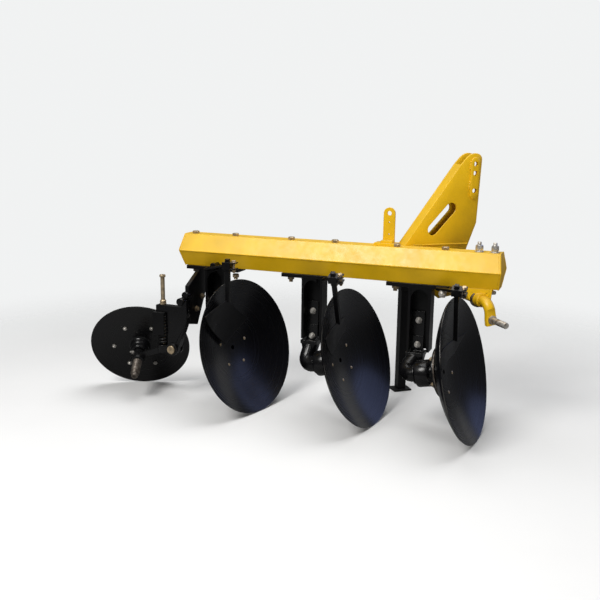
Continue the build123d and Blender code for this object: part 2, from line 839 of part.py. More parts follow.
with BuildPart() as mast_web:
    with BuildSketch(fore_aft(mast_centre - mast_width / 2 + mast_plate)):
        Polygon(
            (web_low_y, ridge),
            (web_top_y, web_top_z),
            (web_top_y + web_thickness, web_top_z),
            (web_low_y + web_thickness, ridge),
            align=None,
        )
    extrude(amount=mast_width - 2 * mast_plate)
    add(beam_hull.part, mode=Mode.SUBTRACT)
solids = mast_web.part.solids().sort_by(SortBy.VOLUME)
save(Part(solids[-1].wrapped), "mast_web")

# Stay lug on the beam
lug_x = 362.0
lug_width = 56.0
lug_thickness = 10.0
lug_top = 1012.0
lug_hole = 24.0
lug_hole_drop = 27.0
lug_back = 45.0
lug_front = -5.0
lug_base = 12.0
lug_base_front = -22.0
with BuildPart() as stay_lug:
    with BuildSketch(level(lug_x, lug_back, beam_top)):
        Rectangle(lug_width * 2, lug_back - lug_base_front, align=(Align.CENTER, Align.MAX))
    extrude(amount=lug_base)
    with BuildSketch(level(lug_x, lug_back, beam_top + lug_base)):
        Rectangle(lug_width, lug_back - lug_front, align=(Align.CENTER, Align.MAX))
    extrude(amount=lug_thickness)
    with BuildSketch(side(lug_x, lug_back - lug_thickness, beam_top + lug_base)):
        with Locations((0, (lug_top - beam_top - lug_base) / 2)):
            Rectangle(lug_width, lug_top - beam_top - lug_base)
        with Locations((0, lug_top - beam_top - lug_base - lug_hole_drop)):
            Circle(lug_hole / 2, mode=Mode.SUBTRACT)
    extrude(amount=-lug_thickness)
save(stay_lug.part, "stay_lug")

# Cross shaft with its cranked ends, the bracket under the beam and the link pins
bracket_left = 743.0
bracket_right = 864.0
cheek_toe_left = 775.0
cheek_toe_right = 859.0
cheek_toe_z = 612.0
bracket_tube = 62.0
bracket_tube_left = 520.0
bracket_tube_right = 574.0
with BuildPart() as shaft_bracket:
    with BuildSketch(level((bracket_left + bracket_right) / 2, 0, beam_bottom - bracket_plate)):
        Rectangle(bracket_right - bracket_left, beam_flat_width)
    extrude(amount=bracket_plate)
    with BuildSketch(side(0, -beam_flat_width / 2, 0)):
        Polygon(
            (bracket_left, beam_bottom - bracket_plate),
            (bracket_right, beam_bottom - bracket_plate),
            (cheek_toe_right, cheek_toe_z),
            (cheek_toe_left, cheek_toe_z),
            align=None,
        )
    extrude(amount=-bracket_plate)
    with BuildSketch(fore_aft(bracket_tube_left)):
        with Locations((shaft_forward, shaft_height)):
            Circle(bracket_tube / 2)
    extrude(amount=bracket_tube_right - bracket_tube_left)
    web_top = beam_bottom - bracket_plate
    with BuildSketch(fore_aft(bracket_tube_left)):
        with Locations((shaft_forward, (shaft_height + web_top) / 2)):
            Rectangle(bracket_plate, web_top - shaft_height)
    extrude(amount=(bracket_tube_right - bracket_tube_left) / 2)
    with BuildSketch(fore_aft(bracket_tube_left - overrun)):
        with Locations((shaft_forward, shaft_height)):
            Circle(shaft_diameter / 2)
    extrude(amount=bracket_tube_right - bracket_tube_left + 2 * overrun, mode=Mode.SUBTRACT)
save(shaft_bracket.part, "shaft_bracket")

shaft_half = link_spacing / 2 - crank_eye_length / 2
straight_half = shaft_half - 2 * crank_bend
with BuildPart() as cross_shaft:
    with BuildSketch(fore_aft(mast_centre - straight_half)):
        with Locations((shaft_forward, shaft_height)):
            Circle(shaft_diameter / 2)
    extrude(amount=2 * straight_half)
    for hand in (1, -1):
        start = site(mast_centre + hand * straight_half, shaft_forward, shaft_height)
        knee = site(mast_centre + hand * shaft_half, shaft_forward, shaft_height)
        eye = site(mast_centre + hand * shaft_half, link_forward, link_height)
        fall = (eye - knee).normalized()
        with BuildLine():
            FilletPolyline(start, knee, knee + fall * crank_straight, radius=crank_bend)
        with BuildSketch(Plane(origin=start, x_dir=(0, 1, 0), z_dir=(hand, 0, 0))):
            Circle(shaft_diameter / 2)
        sweep()
        arm_end = Plane(origin=knee + fall * crank_straight, x_dir=(1, 0, 0), z_dir=fall)
        with BuildSketch(arm_end):
            Circle(shaft_diameter / 2)
        with BuildSketch(arm_end.offset((eye - knee).length - crank_straight)):
            RectangleRounded(crank_eye_length, crank_eye, crank_eye_length / 4)
        loft()
        with BuildSketch(arm_end.offset((eye - knee).length - crank_straight)):
            RectangleRounded(crank_eye_length, crank_eye, crank_eye_length / 4)
        extrude(amount=crank_end)
        ring = Plane(
            origin=site(mast_centre + hand * link_spacing / 2, link_forward, link_height),
            x_dir=(0, 1, 0),
            z_dir=(-hand, 0, 0),
        )
        with BuildSketch(ring):
            Circle(crank_eye)
        extrude(amount=-overrun, mode=Mode.SUBTRACT)
        with BuildSketch(ring.offset(-overrun)):
            Circle(link_pin / 2)
        extrude(amount=crank_eye_length + 2 * overrun, mode=Mode.SUBTRACT)
save(cross_shaft.part, "cross_shaft")

for hand_name, hand in (("right", 1), ("left", -1)):
    shoulder = Plane(
        origin=site(mast_centre + hand * link_spacing / 2, link_forward, link_height),
        x_dir=(0, 1, 0),
        z_dir=(hand, 0, 0),
    )
    with BuildPart() as link_pin_part:
        with BuildSketch(shoulder.offset(-crank_eye_length)):
            Circle(link_pin / 2)
        extrude(amount=crank_eye_length + link_pin_length)
        with BuildSketch(shoulder):
            Circle(link_collar / 2)
        extrude(amount=link_collar_thickness)
    save(link_pin_part.part, f"link_pin_{hand_name}")

# Parking stand in its sleeve behind the cross shaft
sleeve_size = stand_size + 2 * stand_clearance + 2 * sleeve_wall
stand_y = shaft_forward - shaft_diameter / 2 - sleeve_size / 2
with BuildPart() as stand_sleeve:
    with BuildSketch(Plane(origin=site(stand_x, stand_y, sleeve_bottom))):
        Rectangle(sleeve_size, sleeve_size)
        Rectangle(
            stand_size + 2 * stand_clearance,
            stand_size + 2 * stand_clearance,
            mode=Mode.SUBTRACT,
        )
    extrude(amount=sleeve_height)
    saddle = Plane(origin=site(stand_x, stand_y + sleeve_size / 2, sleeve_bottom))
    with BuildSketch(saddle):
        Rectangle(sleeve_size / 2, shaft_diameter / 2, align=(Align.CENTER, Align.MIN))
    extrude(amount=sleeve_height)
    with BuildSketch(fore_aft(stand_x - sleeve_size)):
        with Locations((shaft_forward, shaft_height)):
            Circle(shaft_diameter / 2)
    extrude(amount=2 * sleeve_size, mode=Mode.SUBTRACT)
save(stand_sleeve.part, "stand_sleeve")

with BuildPart() as stand_leg:
    with BuildSketch(Plane(origin=site(stand_x, stand_y, foot_thickness))):
        Rectangle(stand_size, stand_size)
        Rectangle(stand_size - 2 * stand_wall, stand_size - 2 * stand_wall, mode=Mode.SUBTRACT)
    extrude(amount=stand_top - foot_thickness)
    with BuildSketch(Plane(origin=site(stand_x, stand_y, 0))):
        Rectangle(foot_width, foot_length)
    extrude(amount=foot_thickness)
save(stand_leg.part, "stand_leg")
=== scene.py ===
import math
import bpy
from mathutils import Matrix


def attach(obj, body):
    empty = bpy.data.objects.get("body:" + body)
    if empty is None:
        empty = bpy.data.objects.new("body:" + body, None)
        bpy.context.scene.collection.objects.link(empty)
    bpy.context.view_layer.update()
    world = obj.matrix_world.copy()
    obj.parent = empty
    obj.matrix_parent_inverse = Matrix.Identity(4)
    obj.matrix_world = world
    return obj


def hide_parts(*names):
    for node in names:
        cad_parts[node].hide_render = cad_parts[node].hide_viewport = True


bl_info = {
    "name": "Disc plough dressing",
    "version": (1, 0, 0),
    "blender": (4, 5, 0),
    "location": "3D View > Sidebar > Plough",
    "description": "Finishes, fittings, welds and a plain stage for a mounted disc plough",
    "category": "Object",
}

import bmesh
import bpy
from bpy.props import FloatProperty, FloatVectorProperty, IntProperty, PointerProperty
from bpy.types import Operator, Panel, PropertyGroup
from mathutils import Matrix, Vector, noise
from mathutils.geometry import delaunay_2d_cdt

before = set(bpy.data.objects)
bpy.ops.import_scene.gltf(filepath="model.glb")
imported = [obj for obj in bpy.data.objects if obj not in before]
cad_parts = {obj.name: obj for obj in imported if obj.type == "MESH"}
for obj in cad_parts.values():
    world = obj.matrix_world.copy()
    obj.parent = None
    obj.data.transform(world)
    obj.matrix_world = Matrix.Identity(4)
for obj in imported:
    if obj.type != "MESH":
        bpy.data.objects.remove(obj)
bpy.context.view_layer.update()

# Places on the plough, in millimetres, in the beam's own frame:
# x along the beam to the front, y away to the left, z up.
MM = 0.001
BEAM_TURN = math.radians(40.0)
ORIGIN = Vector((-104.18, 144.0, 0.0)) * MM
UP = Vector((0.0, 0.0, 1.0))
HERE = Matrix.Identity(4)
SHARP_ANGLE = math.radians(38.0)

# Columns: number, station, turn and rise of the disc axis, turn of the bolts,
# hub offset x and y
DISC_SETTINGS = (
    (1, -1, -13.5, 14.5, 16.5, 155.0, -136.0),
    (2, 0, -7.5, 16.5, 35.5, 186.0, -108.0),
    (3, 1, -5.0, 12.5, 55.0, 158.0, -132.0),
)
# Tops of the scraper clamps and the directions of the bars in them
CLAMPS = (
    (1, (-350.2, -230.8, 742.4), (0.0052, -0.0145, 0.9999)),
    (2, (198.0, -273.4, 728.5), (0.0028, -0.3637, 0.9315)),
    (3, (732.3, -175.9, 698.9), (0.0398, -0.3714, 0.9276)),
)
STATION_PITCH = 529.0
DISC_RADIUS = 330.0
DISC_CURVATURE = 600.0
DISC_THICKNESS = 6.0
DISC_EDGE = 2.0
DISC_BEVEL = 9.0
DISC_BOLT_CIRCLE = 190.0
DISC_BOLT_COUNT = 5
CENTRE_HOLE = 22.0

BEAM_REAR = -700.0
BEAM_FRONT = 904.0
BEAM_BOTTOM = 678.0
BEAM_TOP = 838.0
RIDGE = 758.0
BEAM_HALF = 87.5
BEAM_FLAT = 45.0
CAP_FOLD = 12.0
PLATE_BOTTOM = 660.0
BOLT_PITCH = 226.0
BOLT_LINE = -12.0
# Studs by the front cap: station and turn of the nut
STUDS = ((793.0, 0.2), (862.0, 0.5))
STUD_LINE = -11.0

WHEEL_TURN = -65.5
WHEEL_TILT = -24.8
WHEEL_CENTRE = (-931.0, -114.0)
WHEEL_RADIUS = 258.0
WHEEL_BOLT_CIRCLE = 274.0

# Turned forms, as (radius, height) points in millimetres
HUB_PROFILE = (
    (29.2, -122), (31, -124), (56, -124), (60.5, -122), (62, -118), (62, -66), (58, -60), (50, -52),
    (50, -20), (114, -20), (116, -18), (116, -8), (114, -6.2), (90, -6.2), (29.2, -6.2),
)
HUB_RING = ((116.3, -12.5), (116.3, -7.4), (112, -6.0), (112, -12.5))
WHEEL_PROFILE = (
    (52, 0), (150, 0), (256.5, 0), (258, -1.2), (258, -4.8), (256.5, -6), (150, -6), (52, -6),
)
WHEEL_HUB = (
    (19.1, -6), (19.1, 56), (21, 58), (40, 58), (44, 56), (46, 52), (46, 34), (51, 30), (52, 26),
    (52, 8), (56, 2), (62, 0.2), (62, -6), (151, -6), (153, -8), (153, -12), (151, -14), (19.1, -14),
)
AXLE_BAR = ((0, 3), (18.8, 3), (18.8, 129), (0, 129))
AXLE_CAP = ((0, 222), (17, 222), (17.5, 236), (15, 241), (9, 242), (9, 236), (0, 236))
AXLE_EYE = ((0, 84), (29, 84), (33, 88), (34, 96), (34, 116), (32, 124), (27, 127), (0, 127))
NIPPLE_TIP = ((0, 7), (6.5, 7), (5, 12), (4, 14), (5.5, 17), (4, 20), (0, 21))
ADJUSTER_SHANK = ((0, 290), (8.8, 290), (8.8, 514), (10.6, 516), (10.6, 634), (0, 634))
ADJUSTER_HEAD = ((0, 633), (13, 633), (15.2, 635), (15.2, 643), (13.5, 645.6), (0, 646))
ADJUSTER_NUTS = (
    (0, 492), (11, 492), (16, 495), (17, 499), (16, 503.5), (13.5, 505), (16, 507), (16.5, 511),
    (15, 515), (11, 518), (0, 518),
)
PIVOT_PIN = ((0, -65), (14.9, -65), (14.9, 0), (20, 0), (21, 1.5), (21, 6), (19, 8), (0, 8.4))
ARM_BOSS = ((0, -70), (12, -70), (12, -16), (16, -14), (16, -2), (14, 0), (0, 0))
LINK_PIN = (
    (0, -26), (14.2, -26), (14.2, -0.2), (19, 0), (20, 1), (20, 5), (19, 6), (14.2, 6.2),
    (14.2, 109), (12.6, 112), (5, 112), (0, 111),
)
SHAFT_COLLAR = ((24.5, 0), (36, 0), (37.5, 1.5), (37.5, 14.5), (36, 16), (24.5, 16))
# Rings of a leg's neck. Columns: x from the station, y, z, half width, half depth, squareness
LEG_NECK = (
    (0, -18, 351, 41, 37, 8), (0, -18, 340, 42, 38, 7), (0, -19, 326, 41.5, 38.5, 4),
    (0, -23, 312, 40, 39, 2.6), (-1, -28, 298, 38.6, 38.6, 2.2), (-1, -34, 284, 35, 35, 2),
)
# Columns: station, upper bolt and lower bolt
STANDARDS = ((-1, 494.0, 374.0), (0, 491.6, 366.3), (1, 496.9, 381.3))
CHANNEL_X = 14.0
CHANNEL_HALF = 53.0
CHANNEL_WALL = 12.0
STANDARD_WELD_Z = 659.0
SPRING_X = -735.0
SPRING_Y = -194.0
SPRING_LOW = 286.0
SPRING_HIGH = 453.0
SPRING_RADIUS = 26.0
PIVOT_PLACE = (-674, -226.5, 270)
# Bosses on the tail's cheek, as x, y, z and radius, and its bolts, as y and z
CHEEK_BOSSES = ((-614, -150, 546, 19.0), (-629, -176, 516, 20.0))
CHEEK_BOLTS = ((-100.0, 465.0), (-40.0, 520.0))
CHEEK_FACE = -598
ARM_BOLT_PLACE = (658, -118, 655)
ARM_BOSS_PLACE = (-493, -116, 694)
SHAFT_Y = 598.0
SHAFT_Z = 628.0
LINK_Y = 611.0
LINK_Z = 554.0

LUG_X = 362.0
LUG_HALF = 28.0
LUG_TOP = 1012.0
MAST_CENTRE = 229.0
MAST_WIDTH = 74.0
MAST_PLATE = 10.0
LINK_HALF = 412.5
TOP_LINK_Y = 703.0
TOP_LINK_HEIGHTS = (1090.0, 1172.0, 1215.0)
TOP_LINK_RADIUS = 12.85
# The mast's side plates, as y and z; they run on into the hollow beam
MAST_OUTLINE = (
    (300, 762), (631, 1212), (655, 1239), (664, 1248), (674, 1255.5), (685, 1261), (699, 1264),
    (712, 1263.4), (723, 1260), (731, 1254.5), (737, 1247), (739.6, 1237), (727, 938),
    (681, 815), (645, 593), (545, 578), (402, 678), (402, 762),
)
# A slot as y, z, length, width and angle
MAST_SLOT = (545, 959, 190, 58, math.radians(47.0))
MAST_STRAP = (TOP_LINK_Y, 1148, 196, 46, math.pi / 2)
SHAFT_RADIUS = 24.0
# Weld beads round the cross shaft, as x and radius, and down the straps, as low and high
SHAFT_WELDS = ((266.0, 25.0), (192.0, 25.0), (574.0, 26.5), (520.0, 26.5))
STRAP_WELDS = ((1098, 1140), (1190, 1232))
COLLAR_X = 526

LENS = 46.8
SENSOR = 36.0
CAMERA_PLACE = (3.43999, -1.08525, 1.34724)
CAMERA_TURN = (77.90757, -0.68221, 71.99395)
# Columns: name, place, target, width, height, power, colour, what alone it lights.
# The two cards only show as reflections in the dark paint.
LIGHTS = (
    ("key_light", (2.2, -3.6, 4.6), (0.0, 0.0, 0.3), 2.6, 2.6, 258.0, (1.0, 0.985, 0.96), ""),
    ("top_light", (-0.5, 0.7, 4.8), (0.0, 0.0, 0.4), 4.6, 4.6, 168.0, (1.0, 1.0, 1.0), ""),
    ("low_fill", (4.6, 0.4, 1.0), (0.0, 0.0, 0.5), 2.0, 2.0, 66.0, (1.0, 0.98, 0.95), "diffuse"),
    ("blue_card", (0.3, 5.2, 3.2), (0.2, 0.2, 0.2), 4.8, 3.8, 48.0, (0.40, 0.50, 1.0), "glossy"),
    ("grey_card", (-2.4, 5.2, 1.1), (0.2, 0.2, 0.2), 4.0, 1.6, 5.2, (1.0, 1.0, 1.0), "glossy"),
)
FLOOR_FADE = (1.3, 3.6)
FLOOR_DIM = 0.27
WORLD_DIM = 0.09


def along(x, y, z=0.0):
    """A direction given in the beam's frame."""
    s, c = math.sin(BEAM_TURN), math.cos(BEAM_TURN)
    return Vector((x * s - y * c, x * c + y * s, z))


def at(x, y, z):
    """A point given in the beam's frame."""
    return along(x, y, z) * MM + ORIGIN


def site(x, y, z):
    """A point given in the machine's own axes."""
    return Vector((x, y, z)) * MM + ORIGIN


def place(origin, z_dir, x_dir):
    """A frame with its z along z_dir and its x as near x_dir as it can be."""
    z = z_dir.normalized()
    x = (x_dir - z * x_dir.dot(z)).normalized()
    m = Matrix((x, z.cross(x), z)).transposed().to_4x4()
    m.translation = origin
    return m


def facing_right(x, y, z):
    """A frame in the beam's own axes with its z to the right and its x along the beam."""
    return place(at(x, y, z), along(0, -1), along(1, 0))


def upright_at(x, y):
    """A frame in the beam's own axes with its z up and its x along the beam."""
    return place(at(x, y, 0), UP, along(1, 0))


def tilted(turn, rise):
    """A disc's or wheel's axis and the level direction square to it, in machine axes."""
    t, r = math.radians(turn), math.radians(rise)
    normal = along(math.cos(r) * math.cos(t), math.cos(r) * math.sin(t), math.sin(r))
    return normal, UP.cross(normal).normalized()


def dished(radius, curvature=DISC_CURVATURE):
    """How far a disc's face has risen from its middle at a radius."""
    return DISC_CURVATURE - math.sqrt(curvature**2 - radius * radius)


def outward(a):
    """The level direction at an angle from x."""
    return Vector((math.cos(a), math.sin(a), 0))


def disc_frame(setting):
    """The frame at a disc's vertex, z along its axis to the open side."""
    _, station, turn, rise, _, hub_x, hub_y = setting
    normal, across = tilted(turn, rise)
    height = DISC_RADIUS * math.sqrt(1 - normal.z**2) - (dished(DISC_RADIUS) - DISC_EDGE) * normal.z
    return place(at(station * STATION_PITCH + hub_x, hub_y, height), normal, across)


def wheel_frame():
    """The frame at the furrow wheel's centre, z along its axis to the hub."""
    normal, across = tilted(WHEEL_TURN, WHEEL_TILT)
    height = WHEEL_RADIUS * math.sqrt(1 - normal.z**2)
    return place(at(*WHEEL_CENTRE, height), normal, across)


# Mesh building

def turned(k, steps, radius=1.0):
    """The k-th of a number of points spread round a circle."""
    a = 2 * math.pi * k / steps
    return radius * math.cos(a), radius * math.sin(a)


def vert(bm, m, x, y, z):
    """A vertex from millimetres in the frame m."""
    return bm.verts.new(m @ (Vector((x, y, z)) * MM))


def skin(bm, first, second):
    """Quads between two loops of equal length, or a fan where one is a single point."""
    n = max(len(first), len(second))
    for k in range(n):
        j = (k + 1) % n
        if len(first) == 1:
            bm.faces.new((first[0], second[k], second[j]))
        elif len(second) == 1:
            bm.faces.new((first[k], first[j], second[0]))
        else:
            bm.faces.new((first[k], first[j], second[j], second[k]))


def stack(bm, loops):
    """Skins between loops of equal length, with a face at each end."""
    for lower, upper in zip(loops, loops[1:]):
        skin(bm, lower, upper)
    bm.faces.new(list(reversed(loops[0])))
    bm.faces.new(loops[-1])


def lathe(bm, m, profile, steps=32, closed=False):
    """A turned form about the frame's z from (radius, height) points."""
    loops = []
    for radius, height in profile:
        count = steps if radius > 0 else 1
        loops.append([vert(bm, m, *turned(k, steps, radius), height) for k in range(count)])
    for lower, upper in zip(loops, loops[1:]):
        skin(bm, lower, upper)
    if closed:
        skin(bm, loops[-1], loops[0])


def prism(bm, m, outline, low, high):
    """A straight block on an outline of (x, y) points."""
    stack(bm, [[vert(bm, m, x, y, z) for x, y in outline] for z in (low, high)])


def slab(bm, m, x_range, y_range, z_range):
    (x0, x1), (y0, y1) = x_range, y_range
    prism(bm, m, [(x0, y0), (x1, y0), (x1, y1), (x0, y1)], *z_range)


def hexagon(bm, m, across, low, high, turn=0.0):
    """A hex head or nut with its corners turned down to a round crown."""
    flat = across / 2
    corner = flat / math.cos(math.pi / 6)
    crown = (high - low) * 0.16
    loops = []
    for radius_corner, radius_flat, height in (
        (flat * 0.96, flat * 0.96, low),
        (corner, flat, low + crown * 0.6),
        (corner, flat, high - crown),
        (flat * 0.93, flat * 0.93, high),
    ):
        loop = []
        for k in range(12):
            a = turn + k * math.pi / 6
            r = radius_corner if k % 2 == 0 else radius_flat
            loop.append(vert(bm, m, r * math.cos(a), r * math.sin(a), height))
        loops.append(loop)
    stack(bm, loops)


def washer(bm, m, radius, low, high):
    edge = min(0.8, (high - low) / 3)
    rim = ((radius - edge, low), (radius, low + edge), (radius, high - edge), (radius - edge, high))
    lathe(bm, m, ((0, low), *rim, (0, high)), 32)


def threaded(bm, m, radius, low, high, pitch=2.5):
    """A bolt's shank with its thread drawn as close grooves and a chamfered end."""
    profile = [(0, low), (radius, low)]
    z = low + pitch / 2
    while z < high - pitch:
        profile += [(radius, z), (radius * 0.90, z + pitch / 2)]
        z += pitch
    profile += [(radius * 0.95, high - pitch * 0.6), (radius * 0.78, high), (0, high)]
    lathe(bm, m, profile, 20)


def tube(bm, points, radii, sides):
    """A round bar along a path in metres, with a radius in millimetres at each point."""
    if not isinstance(radii, (list, tuple)):
        radii = [radii] * len(points)
    loops = []
    side = (points[1] - points[0]).normalized().orthogonal().normalized()
    for k, point in enumerate(points):
        ahead = points[min(k + 1, len(points) - 1)] - points[max(k - 1, 0)]
        ahead.normalize()
        side = (side - ahead * side.dot(ahead)).normalized()
        up = ahead.cross(side)
        loop = []
        for j in range(sides):
            a = 2 * math.pi * j / sides
            loop.append(bm.verts.new(point + (side * math.cos(a) + up * math.sin(a)) * (radii[k] * MM)))
        loops.append(loop)
    stack(bm, loops)


def resample(points, step):
    """Points along a path of straight runs, one about every step metres."""
    out = [points[0].copy()]
    for a, b in zip(points, points[1:]):
        count = max(1, round((b - a).length / step))
        out += [a.lerp(b, k / count) for k in range(1, count + 1)]
    return out


def weld(bm, points, radius, ripple=0.16, step=0.0035, sides=8):
    """A weld bead: a bar with the ripples and drift of a hand-laid run."""
    path = resample(points, step)
    radii = []
    for k, point in enumerate(path):
        drift = noise.noise(point * 45.0)
        radii.append(radius * (1 + ripple * math.sin(k * 1.9) + 0.30 * drift))
    radii[0] = radii[-1] = radius * 0.5
    tube(bm, path, radii, sides)


def loft(bm, sections, steps=40):
    """A smooth skin through level rings: x, y, z, half width, half depth and squareness."""
    loops = []
    for x, y, z, wide, deep, power in sections:
        loop = []
        for k in range(steps):
            a = 2 * math.pi * k / steps
            c, s = math.cos(a), math.sin(a)
            grow = (abs(c) ** power + abs(s) ** power) ** (-1 / power)
            loop.append(bm.verts.new(at(x + wide * grow * c, y + deep * grow * s, z)))
        loops.append(loop)
    stack(bm, loops)


def circle(x, y, radius, steps=40):
    return stadium(x, y, 2 * radius, 2 * radius, 0.0, steps)


def stadium(x, y, length, width, angle, steps=40):
    """A round-ended slot's outline, its length turned from x by the angle."""
    points = []
    c, s = math.cos(angle), math.sin(angle)
    for k in range(steps):
        a = 2 * math.pi * (k + 0.5) / steps
        px = width / 2 * math.cos(a) + math.copysign((length - width) / 2, math.cos(a))
        py = width / 2 * math.sin(a)
        points.append((x + px * c - py * s, y + px * s + py * c))
    return points


def moved_in(loop, distance):
    """The loop moved towards its inside; a negative distance moves it out."""
    area = sum(x0 * y1 - x1 * y0 for (x0, y0), (x1, y1) in zip(loop, loop[1:] + loop[:1]))
    hand = math.copysign(distance, area)
    out = []
    for k, point in enumerate(loop):
        here = Vector(point)
        before = (here - Vector(loop[k - 1])).normalized()
        after = (Vector(loop[(k + 1) % len(loop)]) - here).normalized()
        across = Vector((-before.y - after.y, before.x + after.x)).normalized()
        reach = max(0.5, across.dot(Vector((-after.y, after.x))))
        out.append(tuple(here + across * (hand / reach)))
    return out


def within(point, loop):
    """Whether the point lies inside the loop."""
    x, y = point
    inside = False
    for (x0, y0), (x1, y1) in zip(loop, loop[1:] + loop[:1]):
        if (y0 > y) != (y1 > y) and x < x0 + (y - y0) * (x1 - x0) / (y1 - y0):
            inside = not inside
    return inside


def plate(bm, m, outline, holes, low, high, edge=1.2):
    """A flat plate with holes through it and its edges broken."""
    full = [outline, *holes]
    inner = [moved_in(loop, edge if k == 0 else -edge) for k, loop in enumerate(full)]
    points, edges = [], []
    for loop in inner:
        first = len(points)
        points += [Vector(point) for point in loop]
        edges += [(first + k, first + (k + 1) % len(loop)) for k in range(len(loop))]
    verts, _, faces, sources, *_ = delaunay_2d_cdt(points, edges, [], 1, 1e-6)
    source = [ids[0] for ids in sources]
    kept = []
    for face in faces:
        centre = sum((verts[i] for i in face), Vector((0.0, 0.0))) / len(face)
        if not any(within(centre, loop) for loop in inner[1:]):
            kept.append([source[i] for i in face])
    levels = []
    for loops, height in ((inner, low), (full, low + edge), (full, high - edge), (inner, high)):
        levels.append([[vert(bm, m, x, y, height) for x, y in loop] for loop in loops])
    for lower, upper in zip(levels, levels[1:]):
        for first, second in zip(lower, upper):
            skin(bm, first, second)
    for level in (levels[0], levels[-1]):
        corners = [corner for loop in level for corner in loop]
        for face in kept:
            bm.faces.new([corners[i] for i in face])


def soften(bm, width):
    """Rounds every sharp edge."""
    bmesh.ops.recalc_face_normals(bm, faces=bm.faces)
    edges = [e for e in bm.edges if e.is_manifold and e.calc_face_angle(0.0) > SHARP_ANGLE]
    bmesh.ops.bevel(
        bm, geom=edges, offset=width * MM, segments=2, profile=0.6, affect="EDGES", clamp_overlap=True
    )


def linked(name, data):
    """A new object in the scene."""
    obj = bpy.data.objects.new(name, data)
    bpy.context.scene.collection.objects.link(obj)
    return obj


def meshed(name, bm):
    """A mesh from the built form, which is then freed."""
    mesh = bpy.data.meshes.new(name)
    bm.to_mesh(mesh)
    bm.free()
    return mesh


def piece(name, bm, body, finish, m=None, smooth=40.0):
    """Makes the mesh an object that rides on a body and has a finish."""
    bmesh.ops.recalc_face_normals(bm, faces=bm.faces)
    mesh = meshed(name, bm)
    mesh.polygons.foreach_set("use_smooth", [True] * len(mesh.polygons))
    mesh.set_sharp_from_angle(angle=math.radians(smooth))
    obj = linked(name, mesh)
    if m is not None:
        obj.matrix_world = m
    mesh.materials.append(bpy.data.materials[finish])
    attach(obj, body)
    return obj


def turned_piece(name, profile, steps, body, finish, m=None, built=HERE, closed=True, smooth=40.0):
    """A piece that is one turned form."""
    bm = bmesh.new()
    lathe(bm, built, profile, steps, closed)
    return piece(name, bm, body, finish, m, smooth)


# Finishes

def start_finish(name, specular=0.5):
    """An empty material with its shader; returns the tree and the shader node."""
    material = bpy.data.materials.new(name)
    material.use_nodes = True
    tree = material.node_tree
    tree.nodes.clear()
    shader = tree.nodes.new("ShaderNodeBsdfPrincipled")
    shader.inputs["Specular IOR Level"].default_value = specular
    out = tree.nodes.new("ShaderNodeOutputMaterial")
    tree.links.new(shader.outputs["BSDF"], out.inputs["Surface"])
    return tree, shader


def fill(tree, socket, value):
    """Links a socket to another, or sets it to a value."""
    if hasattr(value, "is_linked"):
        tree.links.new(value, socket)
    else:
        socket.default_value = value


def feed(tree, node, **values):
    """Fills a node's inputs, named in lower case with underscores."""
    for name, value in values.items():
        fill(tree, node.inputs[name.replace("_", " ").title()], value)


def object_place(tree):
    return tree.nodes.new("ShaderNodeTexCoord").outputs["Object"]


def grain(tree, scale, detail=4.0, rough=0.55, stretch=(1.0, 1.0, 1.0)):
    """A noise value over the object's own coordinates."""
    mapping = tree.nodes.new("ShaderNodeMapping")
    feed(tree, mapping, vector=object_place(tree), scale=stretch)
    node = tree.nodes.new("ShaderNodeTexNoise")
    feed(tree, node, vector=mapping.outputs["Vector"], scale=scale, detail=detail, roughness=rough)
    return node.outputs["Fac"]


def ranged(tree, value, low, high, to_low=0.0, to_high=1.0):
    node = tree.nodes.new("ShaderNodeMapRange")
    feed(tree, node, value=value, from_min=low, from_max=high, to_min=to_low, to_max=to_high)
    return node.outputs["Result"]


def blended(tree, factor, first, second):
    """A colour between two colours or sockets."""
    node = tree.nodes.new("ShaderNodeMix")
    node.data_type = "RGBA"
    first, second = (c if hasattr(c, "is_linked") else (*c[:3], 1.0) for c in (first, second))
    feed(tree, node, factor=factor, a=first, b=second)
    return node.outputs["Result"]


def maths(tree, operation, first, second):
    node = tree.nodes.new("ShaderNodeMath")
    node.operation = operation
    for socket, value in zip(node.inputs, (first, second)):
        fill(tree, socket, value)
    return node.outputs["Value"]


def times(tree, first, second):
    return maths(tree, "MULTIPLY", first, second)


def relief(tree, shader, height, distance, strength):
    bump = tree.nodes.new("ShaderNodeBump")
    feed(tree, bump, height=height, distance=distance, strength=strength)
    feed(tree, shader, normal=bump.outputs["Normal"])


def facing_up(tree):
    """How far the surface faces the sky, from 0 to 1."""
    split = tree.nodes.new("ShaderNodeSeparateXYZ")
    feed(tree, split, vector=tree.nodes.new("ShaderNodeNewGeometry").outputs["Normal"])
    return ranged(tree, split.outputs["Z"], 0.35, 1.0)


def shade(colour, factor):
    return tuple(max(0.0, min(1.0, c * factor)) for c in colour[:3])


def enamel(name, colour, roughness, specular, grime, dust):
    """Sprayed paint with uneven tone, a little dust on top and a fine orange peel."""
    tree, shader = start_finish(name, specular)
    broad = ranged(tree, grain(tree, 7.0, 5.0), 0.35, 0.65)
    tone = blended(tree, broad, shade(colour, 0.90), shade(colour, 1.06))
    specks = ranged(tree, grain(tree, 120.0, 3.0, 0.7), 0.66, 0.74)
    marks = times(tree, specks, ranged(tree, grain(tree, 16.0, 2.0), 0.50, 0.62))
    tone = blended(tree, times(tree, marks, 0.55), tone, grime)
    settled = times(tree, facing_up(tree), ranged(tree, grain(tree, 22.0, 6.0), 0.30, 0.75, 0.02, 0.16))
    tone = blended(tree, settled, tone, dust)
    wet = ranged(tree, grain(tree, 30.0, 4.0), 0.3, 0.7, roughness - 0.05, roughness + 0.09)
    feed(tree, shader, base_color=tone, roughness=wet)
    relief(tree, shader, grain(tree, 260.0, 2.0), 0.00010, 0.6)


